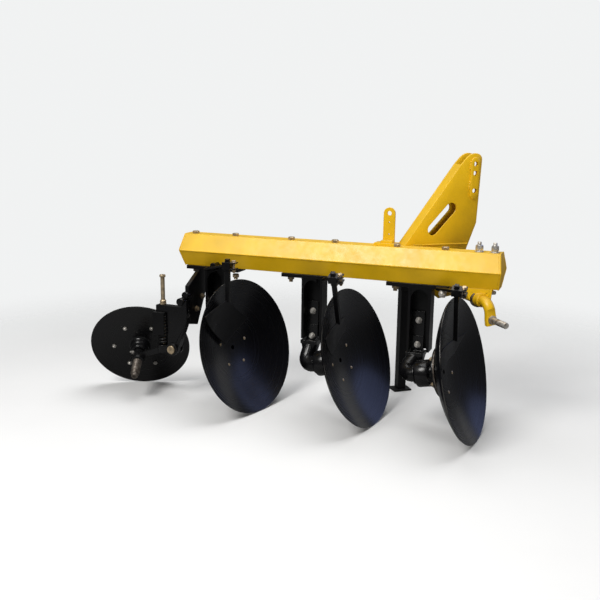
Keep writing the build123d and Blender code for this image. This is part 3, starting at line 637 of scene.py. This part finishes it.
def casting(name, colour, roughness, coarse, dust):
    """Painted cast iron: sandy relief under the paint."""
    tree, shader = start_finish(name, 0.42)
    broad = ranged(tree, grain(tree, 12.0, 5.0), 0.35, 0.65)
    tone = blended(tree, broad, shade(colour, 0.8), shade(colour, 1.2))
    settled = times(tree, facing_up(tree), ranged(tree, grain(tree, 26.0, 6.0), 0.35, 0.75, 0.0, 0.12))
    tone = blended(tree, settled, tone, dust)
    wet = ranged(tree, grain(tree, 40.0, 4.0), 0.3, 0.7, roughness - 0.06, roughness + 0.12)
    feed(tree, shader, base_color=tone, roughness=wet)
    fine = grain(tree, 420.0, 3.0, 0.65)
    height = maths(tree, "ADD", fine, times(tree, grain(tree, 90.0, 3.0), 1.4))
    relief(tree, shader, height, coarse, 0.35)


def bare_metal(name, colour, tarnish, roughness, stretch):
    """Plated or machined steel with tarnish in patches and fine tool marks."""
    tree, shader = start_finish(name)
    patches = ranged(tree, grain(tree, 55.0, 5.0), 0.42, 0.62)
    feed(tree, shader, base_color=blended(tree, patches, colour, tarnish), metallic=0.7)
    wet = ranged(tree, grain(tree, 110.0, 4.0), 0.3, 0.7, roughness - 0.08, roughness + 0.14)
    feed(tree, shader, roughness=wet)
    relief(tree, shader, grain(tree, 500.0, 2.0, 0.5, stretch), 0.00008, 0.5)


def disc_paint(name, colour, steel, rim):
    """Black enamel on pressed steel: a sheen in faint rings, and bare metal out at the rim."""
    tree, shader = start_finish(name)
    split = tree.nodes.new("ShaderNodeSeparateXYZ")
    feed(tree, split, vector=object_place(tree))
    x2 = times(tree, split.outputs["X"], split.outputs["X"])
    y2 = times(tree, split.outputs["Y"], split.outputs["Y"])
    radius = maths(tree, "POWER", maths(tree, "ADD", x2, y2), 0.5)
    worn = maths(tree, "ADD", radius, times(tree, grain(tree, 60.0, 4.0), 0.003))
    at_rim = ranged(tree, worn, rim + 0.0006, rim + 0.0016)
    bare = times(tree, at_rim, ranged(tree, grain(tree, 9.0, 4.0), 0.48, 0.62))
    broad = ranged(tree, grain(tree, 5.0, 5.0), 0.35, 0.65)
    tone = blended(tree, broad, shade(colour, 0.8), shade(colour, 1.3))
    specks = ranged(tree, grain(tree, 210.0, 2.0, 0.6), 0.74, 0.80)
    tone = blended(tree, times(tree, specks, 0.5), tone, (0.045, 0.045, 0.045))
    tone = blended(tree, bare, tone, steel)
    feed(tree, shader, base_color=tone, metallic=bare)
    rings = tree.nodes.new("ShaderNodeTexNoise")
    rings.noise_dimensions = "1D"
    feed(tree, rings, detail=3.0, scale=1.0, w=times(tree, radius, 90.0))
    wet = ranged(tree, rings.outputs["Fac"], 0.3, 0.7, 0.22, 0.28)
    feed(tree, shader, roughness=wet)
    relief(tree, shader, grain(tree, 240.0, 2.0), 0.00003, 0.3)


def size_setting(name, description, default, low, high):
    return FloatProperty(
        name=name, description=description, default=default, min=low, max=high, unit="LENGTH"
    )


def colour_setting(name, description, default):
    return FloatVectorProperty(
        name=name, description=description, subtype="COLOR", default=default, min=0.0, max=1.0
    )


class PloughSizes(PropertyGroup):
    """The sizes of the fittings that a user would change."""

    bolt_across: size_setting("Beam bolt across flats", "Width of the beam bolts' heads", 0.030, 0.01, 0.06)
    bolt_head: size_setting("Beam bolt head", "Height of the beam bolts' heads", 0.014, 0.005, 0.03)
    disc_bolt_head: size_setting("Disc bolt head", "Width of the disc bolts' heads", 0.015, 0.01, 0.04)
    weld_radius: size_setting("Weld radius", "Radius of the beam's weld beads", 0.0035, 0.001, 0.01)
    edge_radius: size_setting("Edge radius", "Rounding of the plates' edges", 0.0014, 0.0, 0.005)
    coil_wire: size_setting("Spring wire", "Diameter of the coil spring's wire", 0.0115, 0.004, 0.016)
    coil_turns: IntProperty(name="Spring turns", description="Turns of the spring", default=10, min=4, max=16)


class PloughColours(PropertyGroup):
    """The colours of the finishes."""

    beam: colour_setting("Beam and mast", "Yellow enamel of beam and mast", (0.80, 0.480, 0.008))
    steelwork: colour_setting("Steelwork", "Black enamel of standards and stand", (0.0028, 0.0028, 0.0033))
    discs: colour_setting("Discs", "Black enamel of the discs", (0.0032, 0.0032, 0.0042))
    castings: colour_setting("Castings", "Black paint of legs and hubs", (0.0034, 0.0034, 0.0040))
    plating: colour_setting("Plating", "Yellow passivated zinc of the larger bolts", (0.62, 0.49, 0.32))
    bright: colour_setting("Bright steel", "Bright zinc and machined steel", (0.74, 0.71, 0.66))
    floor: colour_setting("Floor", "Plain floor of the stage", (0.835, 0.84, 0.845))
    backdrop: colour_setting("Backdrop", "Plain light behind the stage", (0.88, 0.89, 0.89))


class PLOUGH_OT_finishes(Operator):
    """Make the paints, castings and metals"""

    bl_idname = "plough.finishes"
    bl_label = "Finishes"

    def execute(self, context):
        colours = context.scene.plough_colours
        enamel("yellow_enamel", colours.beam, 0.36, 0.5, (0.25, 0.13, 0.03), (0.80, 0.70, 0.45))
        enamel("black_enamel", colours.steelwork, 0.32, 0.30, (0.04, 0.034, 0.028), (0.12, 0.118, 0.115))
        casting("cast_enamel", colours.castings, 0.24, 0.00010, (0.07, 0.069, 0.067))
        disc_paint("disc_enamel", colours.discs, shade(colours.bright, 0.22), DISC_RADIUS * MM - 0.0020)
        disc_paint("wheel_enamel", colours.steelwork, shade(colours.bright, 0.2), WHEEL_RADIUS * MM - 0.001)
        bare_metal("plated_bolt", colours.plating, shade(colours.plating, 0.55), 0.36, (1.0, 1.0, 1.0))
        bare_metal("bright_bolt", colours.bright, shade(colours.bright, 0.6), 0.26, (1.0, 1.0, 1.0))
        bare_metal("machined_steel", colours.bright, (0.30, 0.24, 0.18), 0.30, (1.0, 6.0, 6.0))
        bare_metal("dark_steel", (0.16, 0.14, 0.12), (0.07, 0.055, 0.045), 0.45, (1.0, 1.0, 1.0))
        return {"FINISHED"}


NODE_FINISHES = (
    ("yellow_enamel", ("main_beam", "beam_cap_", "mast_", "stay_lug", "cross_shaft", "shaft_bracket")),
    ("machined_steel", ("link_pin",)),
    ("plated_bolt", ("pivot_pin", "tail_bolt")),
    ("cast_enamel", ("leg_", "hub_", "wheel_hub", "tail_bracket", "wheel_arm")),
    ("disc_enamel", ("disc_",)),
)


class PLOUGH_OT_frame(Operator):
    """Paint the frame's own parts and round their edges"""

    bl_idname = "plough.frame"
    bl_label = "Frame"

    def execute(self, context):
        width = context.scene.plough_sizes.edge_radius
        for name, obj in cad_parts.items():
            finish = next((f for f, starts in NODE_FINISHES if name.startswith(starts)), "black_enamel")
            obj.data.materials.clear()
            obj.data.materials.append(bpy.data.materials[finish])
            merge = obj.modifiers.new("Merge", "WELD")
            merge.merge_threshold = 0.00002
            edges = obj.modifiers.new("Edges", "BEVEL")
            edges.width = width
            edges.segments = 2
            edges.limit_method = "ANGLE"
            edges.angle_limit = math.radians(35.0)
            edges.use_clamp_overlap = False
            edges.miter_outer = "MITER_ARC"
            weights = obj.modifiers.new("Even shading", "WEIGHTED_NORMAL")
            weights.keep_sharp = False
            weights.weight = 90
        return {"FINISHED"}


class PLOUGH_OT_beam_fittings(Operator):
    """Bolt heads, studs and nuts on the beam, and its weld beads"""

    bl_idname = "plough.beam_fittings"
    bl_label = "Beam fittings"

    def execute(self, context):
        sizes = context.scene.plough_sizes
        across, head = sizes.bolt_across / MM, sizes.bolt_head / MM
        bm = bmesh.new()
        for station in (-1, 0, 1):
            for hand in (-1, 1):
                x = station * STATION_PITCH + hand * BOLT_PITCH / 2
                m = place(at(x, BOLT_LINE, 0), UP, along(1, 0.3 * hand + 0.2 * station))
                hexagon(bm, m, across, BEAM_TOP, BEAM_TOP + head)
                if hand < 0:
                    hexagon(bm, m, across, PLATE_BOTTOM - 18, PLATE_BOTTOM - 2)
                    washer(bm, m, across * 0.62, PLATE_BOTTOM - 3, PLATE_BOTTOM)
                    threaded(bm, m, 10, PLATE_BOTTOM - 30, PLATE_BOTTOM - 17)
                else:
                    hexagon(bm, m, across, PLATE_BOTTOM - 33, PLATE_BOTTOM - 15)
                    threaded(bm, m, 10, PLATE_BOTTOM - 42, PLATE_BOTTOM - 32)
        piece("beam_bolts", bm, "frame", "plated_bolt")
        bm = bmesh.new()
        for x, turn in STUDS:
            m = place(at(x, STUD_LINE, 0), UP, along(1, turn))
            washer(bm, m, 20, BEAM_TOP, BEAM_TOP + 4)
            washer(bm, m, 15, BEAM_TOP + 4, BEAM_TOP + 8)
            hexagon(bm, m, across, BEAM_TOP + 8, BEAM_TOP + 32)
            threaded(bm, m, 9.5, BEAM_TOP + 31, BEAM_TOP + 46)
            hexagon(bm, m, across, BEAM_BOTTOM - 12 - head, BEAM_BOTTOM - 12)
        piece("beam_studs", bm, "frame", "bright_bolt")
        radius = sizes.weld_radius / MM
        bm = bmesh.new()
        for y in (-BEAM_HALF + 1.2, BEAM_HALF - 1.2):
            weld(bm, [at(BEAM_REAR + 6, y, RIDGE), at(BEAM_FRONT - 6, y, RIDGE)], radius, 0.30)
        rise = RIDGE - BEAM_BOTTOM
        outline = (
            (-BEAM_HALF, 0), (-BEAM_FLAT, rise), (BEAM_FLAT, rise), (BEAM_HALF, 0),
            (BEAM_FLAT, -rise), (-BEAM_FLAT, -rise), (-BEAM_HALF, 0),
        )
        for end, sign in ((BEAM_REAR, 1), (BEAM_FRONT, -1)):
            path = []
            for y, z in outline:
                inset = 1.0 + CAP_FOLD * abs(z) / rise
                path.append(at(end + sign * inset, y * 0.992, RIDGE + z * 0.992))
            weld(bm, path, radius * 0.75, 0.08)
        piece("beam_welds", bm, "frame", "yellow_enamel")
        return {"FINISHED"}


class PLOUGH_OT_standards(Operator):
    """Arched gussets, bolts and weld beads of the standards, and the legs' necks"""

    bl_idname = "plough.standards"
    bl_label = "Standards"

    def execute(self, context):
        gussets, bolts, beads = bmesh.new(), bmesh.new(), bmesh.new()
        for station, upper, lower in STANDARDS:
            x = station * STATION_PITCH
            m = facing_right(x, 0, 0)
            # The open side of the channel is closed at the top by a plate with an arch in it
            arch = []
            half = CHANNEL_HALF - CHANNEL_WALL
            for k in range(13):
                a = math.pi * k / 12
                arch.append((CHANNEL_X - half * math.cos(a), 606 + 47 * math.sin(a)))
            for (ax, az), (bx, bz) in zip(arch, arch[1:]):
                quad = [(ax, az), (bx, bz), (bx, 661.0), (ax, 661.0)]
                front = [vert(gussets, m, px, pz, 55) for px, pz in quad]
                back = [vert(gussets, m, px, pz, 45) for px, pz in quad]
                gussets.faces.new(front)
                gussets.faces.new(list(reversed(back)))
                for i in range(4):
                    j = (i + 1) % 4
                    gussets.faces.new((front[j], front[i], back[i], back[j]))
            for z, turn in ((upper, 0.35), (lower, 0.1)):
                b = facing_right(x + 4, -4, z)
                base, face, end = (3, 14, 19) if z == upper else (11, 23, 28)
                washer(bolts, b, 16, base - 3, base)
                hexagon(bolts, b, 24, base, face, turn)
                threaded(bolts, b, 7.5, face - 1, end, 2.0)
                back = place(at(x + 4, 20, z), along(0, 1), along(1, 0))
                hexagon(bolts, back, 24, 0, 11, turn)
            for side in (-1, 1):
                edge = x + CHANNEL_X + side * CHANNEL_HALF
                weld(beads, [at(edge, 20, STANDARD_WELD_Z), at(edge, -57, STANDARD_WELD_Z)], 4.0)
            ends = (x + CHANNEL_X - CHANNEL_HALF, x + CHANNEL_X + CHANNEL_HALF)
            weld(beads, [at(end, 20, STANDARD_WELD_Z) for end in ends], 4.0)
        bmesh.ops.remove_doubles(gussets, verts=gussets.verts, dist=0.0001)
        piece("standard_arches", gussets, "frame", "black_enamel")
        piece("standard_bolts", bolts, "frame", "bright_bolt")
        piece("standard_welds", beads, "frame", "black_enamel")
        for number, station in ((1, -1), (2, 0), (3, 1)):
            bm = bmesh.new()
            loft(bm, [(station * STATION_PITCH + x, *rest) for x, *rest in LEG_NECK])
            piece(f"leg_neck_{number}", bm, "frame", "cast_enamel")
        return {"FINISHED"}


class PLOUGH_OT_scrapers(Operator):
    """Bolts of the scrapers' clamps and arm"""

    bl_idname = "plough.scrapers"
    bl_label = "Scraper clamps"

    def execute(self, context):
        bm = bmesh.new()
        for number, top, direction in CLAMPS:
            m = place(at(*top), along(*direction), along(1, 0))
            pin = m @ Matrix.Translation(Vector((33, 0, 0)) * MM)
            washer(bm, pin, 11, -0.2, 2.2)
            hexagon(bm, pin, 19, 2, 10, 0.3 * number)
            lathe(bm, pin, ((0, -30), (5.8, -30), (5.8, -4), (0, -4)), 20)
            hexagon(bm, pin, 19, -43, -33.8, 0.2)
            threaded(bm, pin, 5.8, -50, -42, 1.75)
        piece("clamp_bolts", bm, "frame", "plated_bolt")
        bm = bmesh.new()
        m = place(at(*ARM_BOLT_PLACE), along(0, -1, -0.1), along(1, 0))
        lathe(bm, m, ((0, -68), (7.8, -68), (7.8, 0), (0, 0)), 24)
        washer(bm, m, 16, -1, 2.5)
        hexagon(bm, m, 24, 2, 15, 0.3)
        threaded(bm, m, 7.8, 14, 20, 2.0)
        piece("scraper_arm_bolt", bm, "frame", "bright_bolt")
        m = facing_right(*ARM_BOSS_PLACE)
        turned_piece("scraper_arm_boss", ARM_BOSS, 32, "frame", "cast_enamel", built=m, closed=False)
        return {"FINISHED"}


class PLOUGH_OT_discs(Operator):
    """The dished discs with their bolts, and the ribbed hubs behind them"""

    bl_idname = "plough.discs"
    bl_label = "Discs and hubs"

    def execute(self, context):
        bolt = context.scene.plough_sizes.disc_bolt_head / MM
        for setting in DISC_SETTINGS:
            number = setting[0]
            body = f"disc_set_{number}"
            m = disc_frame(setting)
            self.disc(number, body, m)
            self.hub(number, body, m)
            self.bolts(number, body, m, bolt, math.radians(setting[4]))
        return {"FINISHED"}

    def disc(self, number, body, m):
        bm = bmesh.new()
        bore = CENTRE_HOLE / 2
        rings_at = [bore + (DISC_RADIUS - 2.5 - bore) * (k / 22) for k in range(23)]
        inner = [(r, dished(r)) for r in rings_at + [DISC_RADIUS - 1.2, DISC_RADIUS - 0.3]]
        depth = dished(DISC_RADIUS)
        back = depth - DISC_EDGE
        edge = [(DISC_RADIUS, depth - 0.4), (DISC_RADIUS, back + 0.3), (DISC_RADIUS - 0.4, back - 0.2)]
        bevel = DISC_RADIUS - DISC_BEVEL
        outer_rings = [r for r in reversed(rings_at[:-1] + [bevel]) if r <= bevel]
        outer = [(r, dished(r, DISC_CURVATURE + DISC_THICKNESS)) for r in outer_rings]
        lathe(bm, HERE, inner + edge + outer, 144, True)
        obj = piece(f"disc_blade_{number}", bm, body, "disc_enamel", m, 25.0)
        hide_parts(f"disc_{number}")

    def hub(self, number, body, m):
        bm = bmesh.new()
        lathe(bm, HERE, HUB_PROFILE, 72, True)
        for k in range(10):
            out = outward((k + 0.5) * math.pi / 5)
            rib = place(Vector((0, 0, 0)), Vector((-out.y, out.x, 0)), out)
            # The rib's frame has x outwards and y along the disc's axis, downwards
            curve = [(61.5 + 50 * (step / 8) ** 2.2, 70 - 50 * (step / 8)) for step in range(9)]
            rib_bm = bmesh.new()
            prism(rib_bm, rib, [(48, 70), *curve, (48, 19)], -8.0, 8.0)
            soften(rib_bm, 3.0)
            mesh = meshed("rib", rib_bm)
            bm.from_mesh(mesh)
            bpy.data.meshes.remove(mesh)
        obj = piece(f"hub_casting_{number}", bm, body, "cast_enamel", m)
        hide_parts(f"hub_{number}")
        turned_piece(f"hub_ring_{number}", HUB_RING, 72, body, "dark_steel", m)

    def bolts(self, number, body, m, width, phase):
        bm = bmesh.new()
        r = DISC_BOLT_CIRCLE / 2
        lean = math.asin(r / DISC_CURVATURE)
        for k in range(DISC_BOLT_COUNT):
            out = outward(phase + 2 * math.pi * k / DISC_BOLT_COUNT)
            axis = (UP * math.cos(lean) - out * math.sin(lean)).normalized()
            head = place((out * r + UP * dished(r)) * MM, axis, out)
            dome = ((0, -1), (width * 0.5, -1), (width * 0.48, 0.6), (width * 0.36, 1.8), (0, 2.4))
            lathe(bm, head, dome, 20)
            back = place(out * r * MM, -UP, out)
            hexagon(bm, back, 19, 20, 31, 0.3 * k)
            threaded(bm, back, 6, 30, 37, 1.75)
        piece(f"disc_bolts_{number}", bm, body, "plated_bolt", m)


class PLOUGH_OT_furrow_wheel(Operator):
    """The rear furrow wheel, its hub, bolts, grease nipple and threaded axle end"""

    bl_idname = "plough.furrow_wheel"
    bl_label = "Furrow wheel"

    def execute(self, context):
        m = wheel_frame()
        body = "furrow_wheel_set"
        obj = turned_piece("furrow_wheel_plate", WHEEL_PROFILE, 128, body, "wheel_enamel", m, smooth=30.0)
        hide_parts("furrow_wheel")
        obj = turned_piece("wheel_hub_casting", WHEEL_HUB, 72, body, "cast_enamel", m)
        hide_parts("wheel_hub")
        bm = bmesh.new()
        for k in range(6):
            out = outward(k * math.pi / 3)
            spot = place(out * (WHEEL_BOLT_CIRCLE / 2 * MM), UP, Vector((1, 0, 0)))
            hexagon(bm, spot, 19, 0, 9, 0.4 * k)
            threaded(bm, spot, 6, 8, 14, 1.75)
            hexagon(bm, spot, 19, -22, -14, 0.2 * k)
        piece("wheel_bolts", bm, body, "bright_bolt", m)
        obj = turned_piece("wheel_axle_bar", AXLE_BAR, 40, "frame", "black_enamel", m, closed=False)
        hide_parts("wheel_axle")
        bm = bmesh.new()
        threaded(bm, HERE, 23, 128, 224, 8.0)
        lathe(bm, HERE, AXLE_CAP, 32)
        piece("axle_end", bm, "frame", "dark_steel", m)
        turned_piece("axle_eye", AXLE_EYE, 48, "frame", "cast_enamel", m, closed=False)
        bm = bmesh.new()
        nipple = place(Vector((-26, 20, 78)) * MM, Vector((-0.7, 0.7, 0.5)), Vector((1, 0, 0)))
        hexagon(bm, nipple, 17, -4, 8, 0.2)
        lathe(bm, nipple, ((0, -16), (6, -16), (6, -3), (0, -3)), 20)
        lathe(bm, nipple, NIPPLE_TIP, 20)
        piece("grease_nipple", bm, "frame", "bright_bolt", m)
        return {"FINISHED"}


class PLOUGH_OT_tail(Operator):
    """Coil spring, bolts, bosses and pivot pin of the furrow wheel's arm"""

    bl_idname = "plough.tail"
    bl_label = "Tail spring"

    def execute(self, context):
        sizes = context.scene.plough_sizes
        wire, turns = sizes.coil_wire / MM, sizes.coil_turns
        bm = bmesh.new()
        points = []
        count = turns * 20
        for k in range(count + 1):
            t = k / count
            # The end turns close up on themselves
            ease = t - 0.018 * math.sin(2 * math.pi * t)
            z = SPRING_LOW + wire / 2 + (SPRING_HIGH - SPRING_LOW - wire) * ease
            a = 2 * math.pi * turns * t
            x = SPRING_X + SPRING_RADIUS * math.cos(a)
            points.append(at(x, SPRING_Y + SPRING_RADIUS * math.sin(a), z))
        tube(bm, points, wire / 2, 10)
        obj = piece("coil_spring", bm, "frame", "black_enamel", smooth=60.0)
        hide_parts("spring")
        bm = bmesh.new()
        m = upright_at(SPRING_X, SPRING_Y)
        lathe(bm, m, ADJUSTER_SHANK, 24)
        lathe(bm, m, ADJUSTER_HEAD, 32)
        lathe(bm, m, ADJUSTER_NUTS, 32)
        obj = piece("adjusting_bolt", bm, "frame", "plated_bolt")
        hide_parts("tail_bolt")
        m = facing_right(*PIVOT_PLACE)
        obj = turned_piece("pivot_pin_turned", PIVOT_PIN, 40, "frame", "plated_bolt", built=m, closed=False)
        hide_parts("pivot_pin")
        bm = bmesh.new()
        for x, y, z, radius in CHEEK_BOSSES:
            knob = facing_right(x, y, z)
            lathe(bm, knob, ((0, 0), (radius, 0), (radius, 34), (radius - 2.5, 37), (0, 38)), 36)
        piece("cheek_bosses", bm, "frame", "cast_enamel")
        bm = bmesh.new()
        for y, z in CHEEK_BOLTS:
            spot = place(at(CHEEK_FACE, y, z), along(1, 0), UP)
            washer(bm, spot, 15, -0.5, 2.5)
            hexagon(bm, spot, 22, 2, 12, 0.2)
            threaded(bm, spot, 7, 11, 17, 2.0)
        piece("cheek_bolts", bm, "frame", "plated_bolt")
        return {"FINISHED"}


class PLOUGH_OT_hitch(Operator):
    """Link pins, mast plates, stay lug, shaft collar and weld beads of the hitch"""

    bl_idname = "plough.hitch"
    bl_label = "Hitch"

    def execute(self, context):
        for name, hand in (("right", 1), ("left", -1)):
            shoulder = site(MAST_CENTRE + hand * LINK_HALF, LINK_Y, LINK_Z)
            m = place(shoulder, Vector((hand, 0, 0)), Vector((0, 1, 0)))
            named = f"link_pin_turned_{name}"
            obj = turned_piece(named, LINK_PIN, 40, "frame", "machined_steel", built=m, closed=False)
            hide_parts(f"link_pin_{name}")
        bm = bmesh.new()
        for x, radius in SHAFT_WELDS:
            path = []
            for k in range(25):
                a = 2 * math.pi * k / 24
                path.append(site(x, SHAFT_Y + radius * math.cos(a), SHAFT_Z + radius * math.sin(a)))
            weld(bm, path, 3.0)
        piece("shaft_welds", bm, "frame", "yellow_enamel")
        m = place(site(COLLAR_X, SHAFT_Y, SHAFT_Z), Vector((1, 0, 0)), UP)
        turned_piece("shaft_collar", SHAFT_COLLAR, 48, "frame", "dark_steel", built=m)
        self.mast()
        bm = bmesh.new()
        self.lug(bm)
        obj = piece("stay_lug_plate", bm, "frame", "yellow_enamel", smooth=35.0)
        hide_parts("stay_lug")
        return {"FINISHED"}

    def mast(self):
        """The side plates with their straps and weld beads."""
        bores = [circle(TOP_LINK_Y, z, TOP_LINK_RADIUS) for z in TOP_LINK_HEIGHTS]
        holes = [stadium(*MAST_SLOT, 48), circle(SHAFT_Y, SHAFT_Z, SHAFT_RADIUS, 48), *bores]
        for name, hand in (("right", 1), ("left", -1)):
            outer = site(MAST_CENTRE + hand * MAST_WIDTH / 2, 0, 0)
            face = place(outer, Vector((hand, 0, 0)), Vector((0, 1, 0)))
            # Seen from outside, the left plate's upward axis points down
            flip = [[(y, hand * z) for y, z in loop] for loop in (MAST_OUTLINE, *holes)]
            bm = bmesh.new()
            plate(bm, face, flip[0], flip[1:], -MAST_PLATE, 0)
            obj = piece(f"mast_plate_{name}", bm, "frame", "yellow_enamel", smooth=50.0)
            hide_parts(f"mast_side_{name}")
            bm = bmesh.new()
            strap = [(y, hand * z) for y, z in stadium(*MAST_STRAP, 48)]
            plate(bm, face, strap, flip[3:], 0, 8, 1.8)
            obj = piece(f"mast_strap_plate_{name}", bm, "frame", "yellow_enamel", smooth=50.0)
            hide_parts(f"mast_strap_{name}")
            bm = bmesh.new()
            side = MAST_CENTRE + hand * (MAST_WIDTH / 2 + 1)
            for low, high in STRAP_WELDS:
                weld(bm, [site(side, 679, low), site(side, 679, high)], 4.2, 0.35, 0.003)
            weld(bm, [site(side - hand, 400, 839), site(side - hand, 684, 839)], 3.5, 0.3)
            piece(f"mast_welds_{name}", bm, "frame", "yellow_enamel")

    def lug(self, bm):
        """The stay's lug: a foot on the beam and an upright with a round top and three holes."""
        foot = upright_at(LUG_X, 0)
        slab(bm, foot, (-56, 56), (-22, 45), (BEAM_TOP, BEAM_TOP + 12))
        slab(bm, foot, (-LUG_HALF, LUG_HALF), (-5, 45), (BEAM_TOP + 12, BEAM_TOP + 22))
        soften(bm, 1.5)
        upright = place(at(LUG_X, 45, 0), along(0, 1), along(1, 0))
        crown = LUG_TOP - LUG_HALF
        outline = [(-LUG_HALF, BEAM_TOP + 12), (LUG_HALF, BEAM_TOP + 12)]
        for k in range(21):
            a = math.pi * k / 20
            outline.append((LUG_HALF * math.cos(a), crown + LUG_HALF * math.sin(a)))
        # The upright's own y runs downwards
        holes = [circle(0, 27 - LUG_TOP, 12), circle(0, -943, 4.5, 16), circle(0, -887, 4.5, 16)]
        plate(bm, upright, [(x, -z) for x, z in outline], holes, -10, 0)


class PLOUGH_OT_stage(Operator):
    """Floor, lights and camera"""

    bl_idname = "plough.stage"
    bl_label = "Stage"

    def execute(self, context):
        colours = context.scene.plough_colours
        self.floor(colours.floor)
        self.world(colours.backdrop)
        for row in LIGHTS:
            self.light(*row)
        camera = bpy.data.cameras.new("photo_camera")
        camera.sensor_fit = "HORIZONTAL"
        camera.sensor_width = SENSOR
        camera.lens = LENS
        camera.clip_end = 200.0
        obj = linked("photo_camera", camera)
        obj.location = CAMERA_PLACE
        obj.rotation_euler = tuple(math.radians(a) for a in CAMERA_TURN)
        context.scene.camera = obj
        context.scene.view_settings.view_transform = "Standard"
        return {"FINISHED"}

    def floor(self, colour):
        bm = bmesh.new()
        lathe(bm, HERE, ((0, -1), (2500, -1), (5000, -1), (9000, -1), (14000, -1)), 64)
        mesh = meshed("floor", bm)
        obj = linked("floor", mesh)
        tree, shader = start_finish("floor_paint", 0.15)
        length = tree.nodes.new("ShaderNodeVectorMath")
        length.operation = "LENGTH"
        tree.links.new(object_place(tree), length.inputs[0])
        far = ranged(tree, length.outputs["Value"], *FLOOR_FADE)
        far.node.interpolation_type = "SMOOTHSTEP"
        soft = ranged(tree, grain(tree, 1.3, 3.0), 0.3, 0.7)
        seen = blended(tree, soft, shade(colour, 0.985), shade(colour, 1.015))
        rays = tree.nodes.new("ShaderNodeLightPath")
        tone = blended(tree, rays.outputs["Is Camera Ray"], shade(colour, FLOOR_DIM), seen)
        feed(tree, shader, base_color=tone, roughness=0.6)
        clear = tree.nodes.new("ShaderNodeBsdfTransparent")
        mix = tree.nodes.new("ShaderNodeMixShader")
        out = next(n for n in tree.nodes if n.type == "OUTPUT_MATERIAL")
        feed(tree, mix, fac=far)
        tree.links.new(shader.outputs["BSDF"], mix.inputs[1])
        tree.links.new(clear.outputs["BSDF"], mix.inputs[2])
        tree.links.new(mix.outputs["Shader"], out.inputs["Surface"])
        mesh.materials.append(bpy.data.materials["floor_paint"])

    def world(self, colour):
        """The backdrop is bright to the camera, and dim in what the plough reflects."""
        world = bpy.data.worlds.new("studio")
        world.use_nodes = True
        tree = world.node_tree
        background = tree.nodes["Background"]
        background.inputs["Color"].default_value = (*colour, 1.0)
        rays = tree.nodes.new("ShaderNodeLightPath")
        strength = ranged(tree, rays.outputs["Is Camera Ray"], 0.0, 1.0, WORLD_DIM, 1.0)
        feed(tree, background, strength=strength)
        bpy.context.scene.world = world

    def light(self, name, location, target, width, height, power, colour, only):
        data = bpy.data.lights.new(name, "AREA")
        data.shape = "ELLIPSE"
        data.size = width
        data.size_y = height
        data.energy = power
        data.color = colour
        obj = linked(name, data)
        obj.location = location
        obj.rotation_euler = (Vector(target) - Vector(location)).to_track_quat("-Z", "Y").to_euler()
        obj.visible_diffuse = only != "glossy"
        obj.visible_glossy = only != "diffuse"


class PLOUGH_PT_panel(Panel):
    """Lists the plough's operators and settings"""

    bl_idname = "PLOUGH_PT_panel"
    bl_label = "Disc plough"
    bl_space_type = "VIEW_3D"
    bl_region_type = "UI"
    bl_category = "Plough"

    def draw(self, context):
        layout = self.layout
        for operator in OPERATORS:
            layout.operator(operator.bl_idname)
        for group in (context.scene.plough_sizes, context.scene.plough_colours):
            box = layout.box()
            for name in group.bl_rna.properties.keys():
                if name not in ("rna_type", "name"):
                    box.prop(group, name)


OPERATORS = (
    PLOUGH_OT_finishes,
    PLOUGH_OT_frame,
    PLOUGH_OT_beam_fittings,
    PLOUGH_OT_standards,
    PLOUGH_OT_scrapers,
    PLOUGH_OT_discs,
    PLOUGH_OT_furrow_wheel,
    PLOUGH_OT_tail,
    PLOUGH_OT_hitch,
    PLOUGH_OT_stage,
)
CLASSES = (PloughSizes, PloughColours, *OPERATORS, PLOUGH_PT_panel)


def register():
    for cls in CLASSES:
        bpy.utils.register_class(cls)
    bpy.types.Scene.plough_sizes = PointerProperty(type=PloughSizes)
    bpy.types.Scene.plough_colours = PointerProperty(type=PloughColours)


def unregister():
    del bpy.types.Scene.plough_colours
    del bpy.types.Scene.plough_sizes
    for cls in reversed(CLASSES):
        bpy.utils.unregister_class(cls)


def main():
    register()
    for operator in OPERATORS:
        group, name = operator.bl_idname.split(".")
        getattr(getattr(bpy.ops, group), name)()
    bpy.context.view_layer.update()


if __name__ == "__main__":
    main()
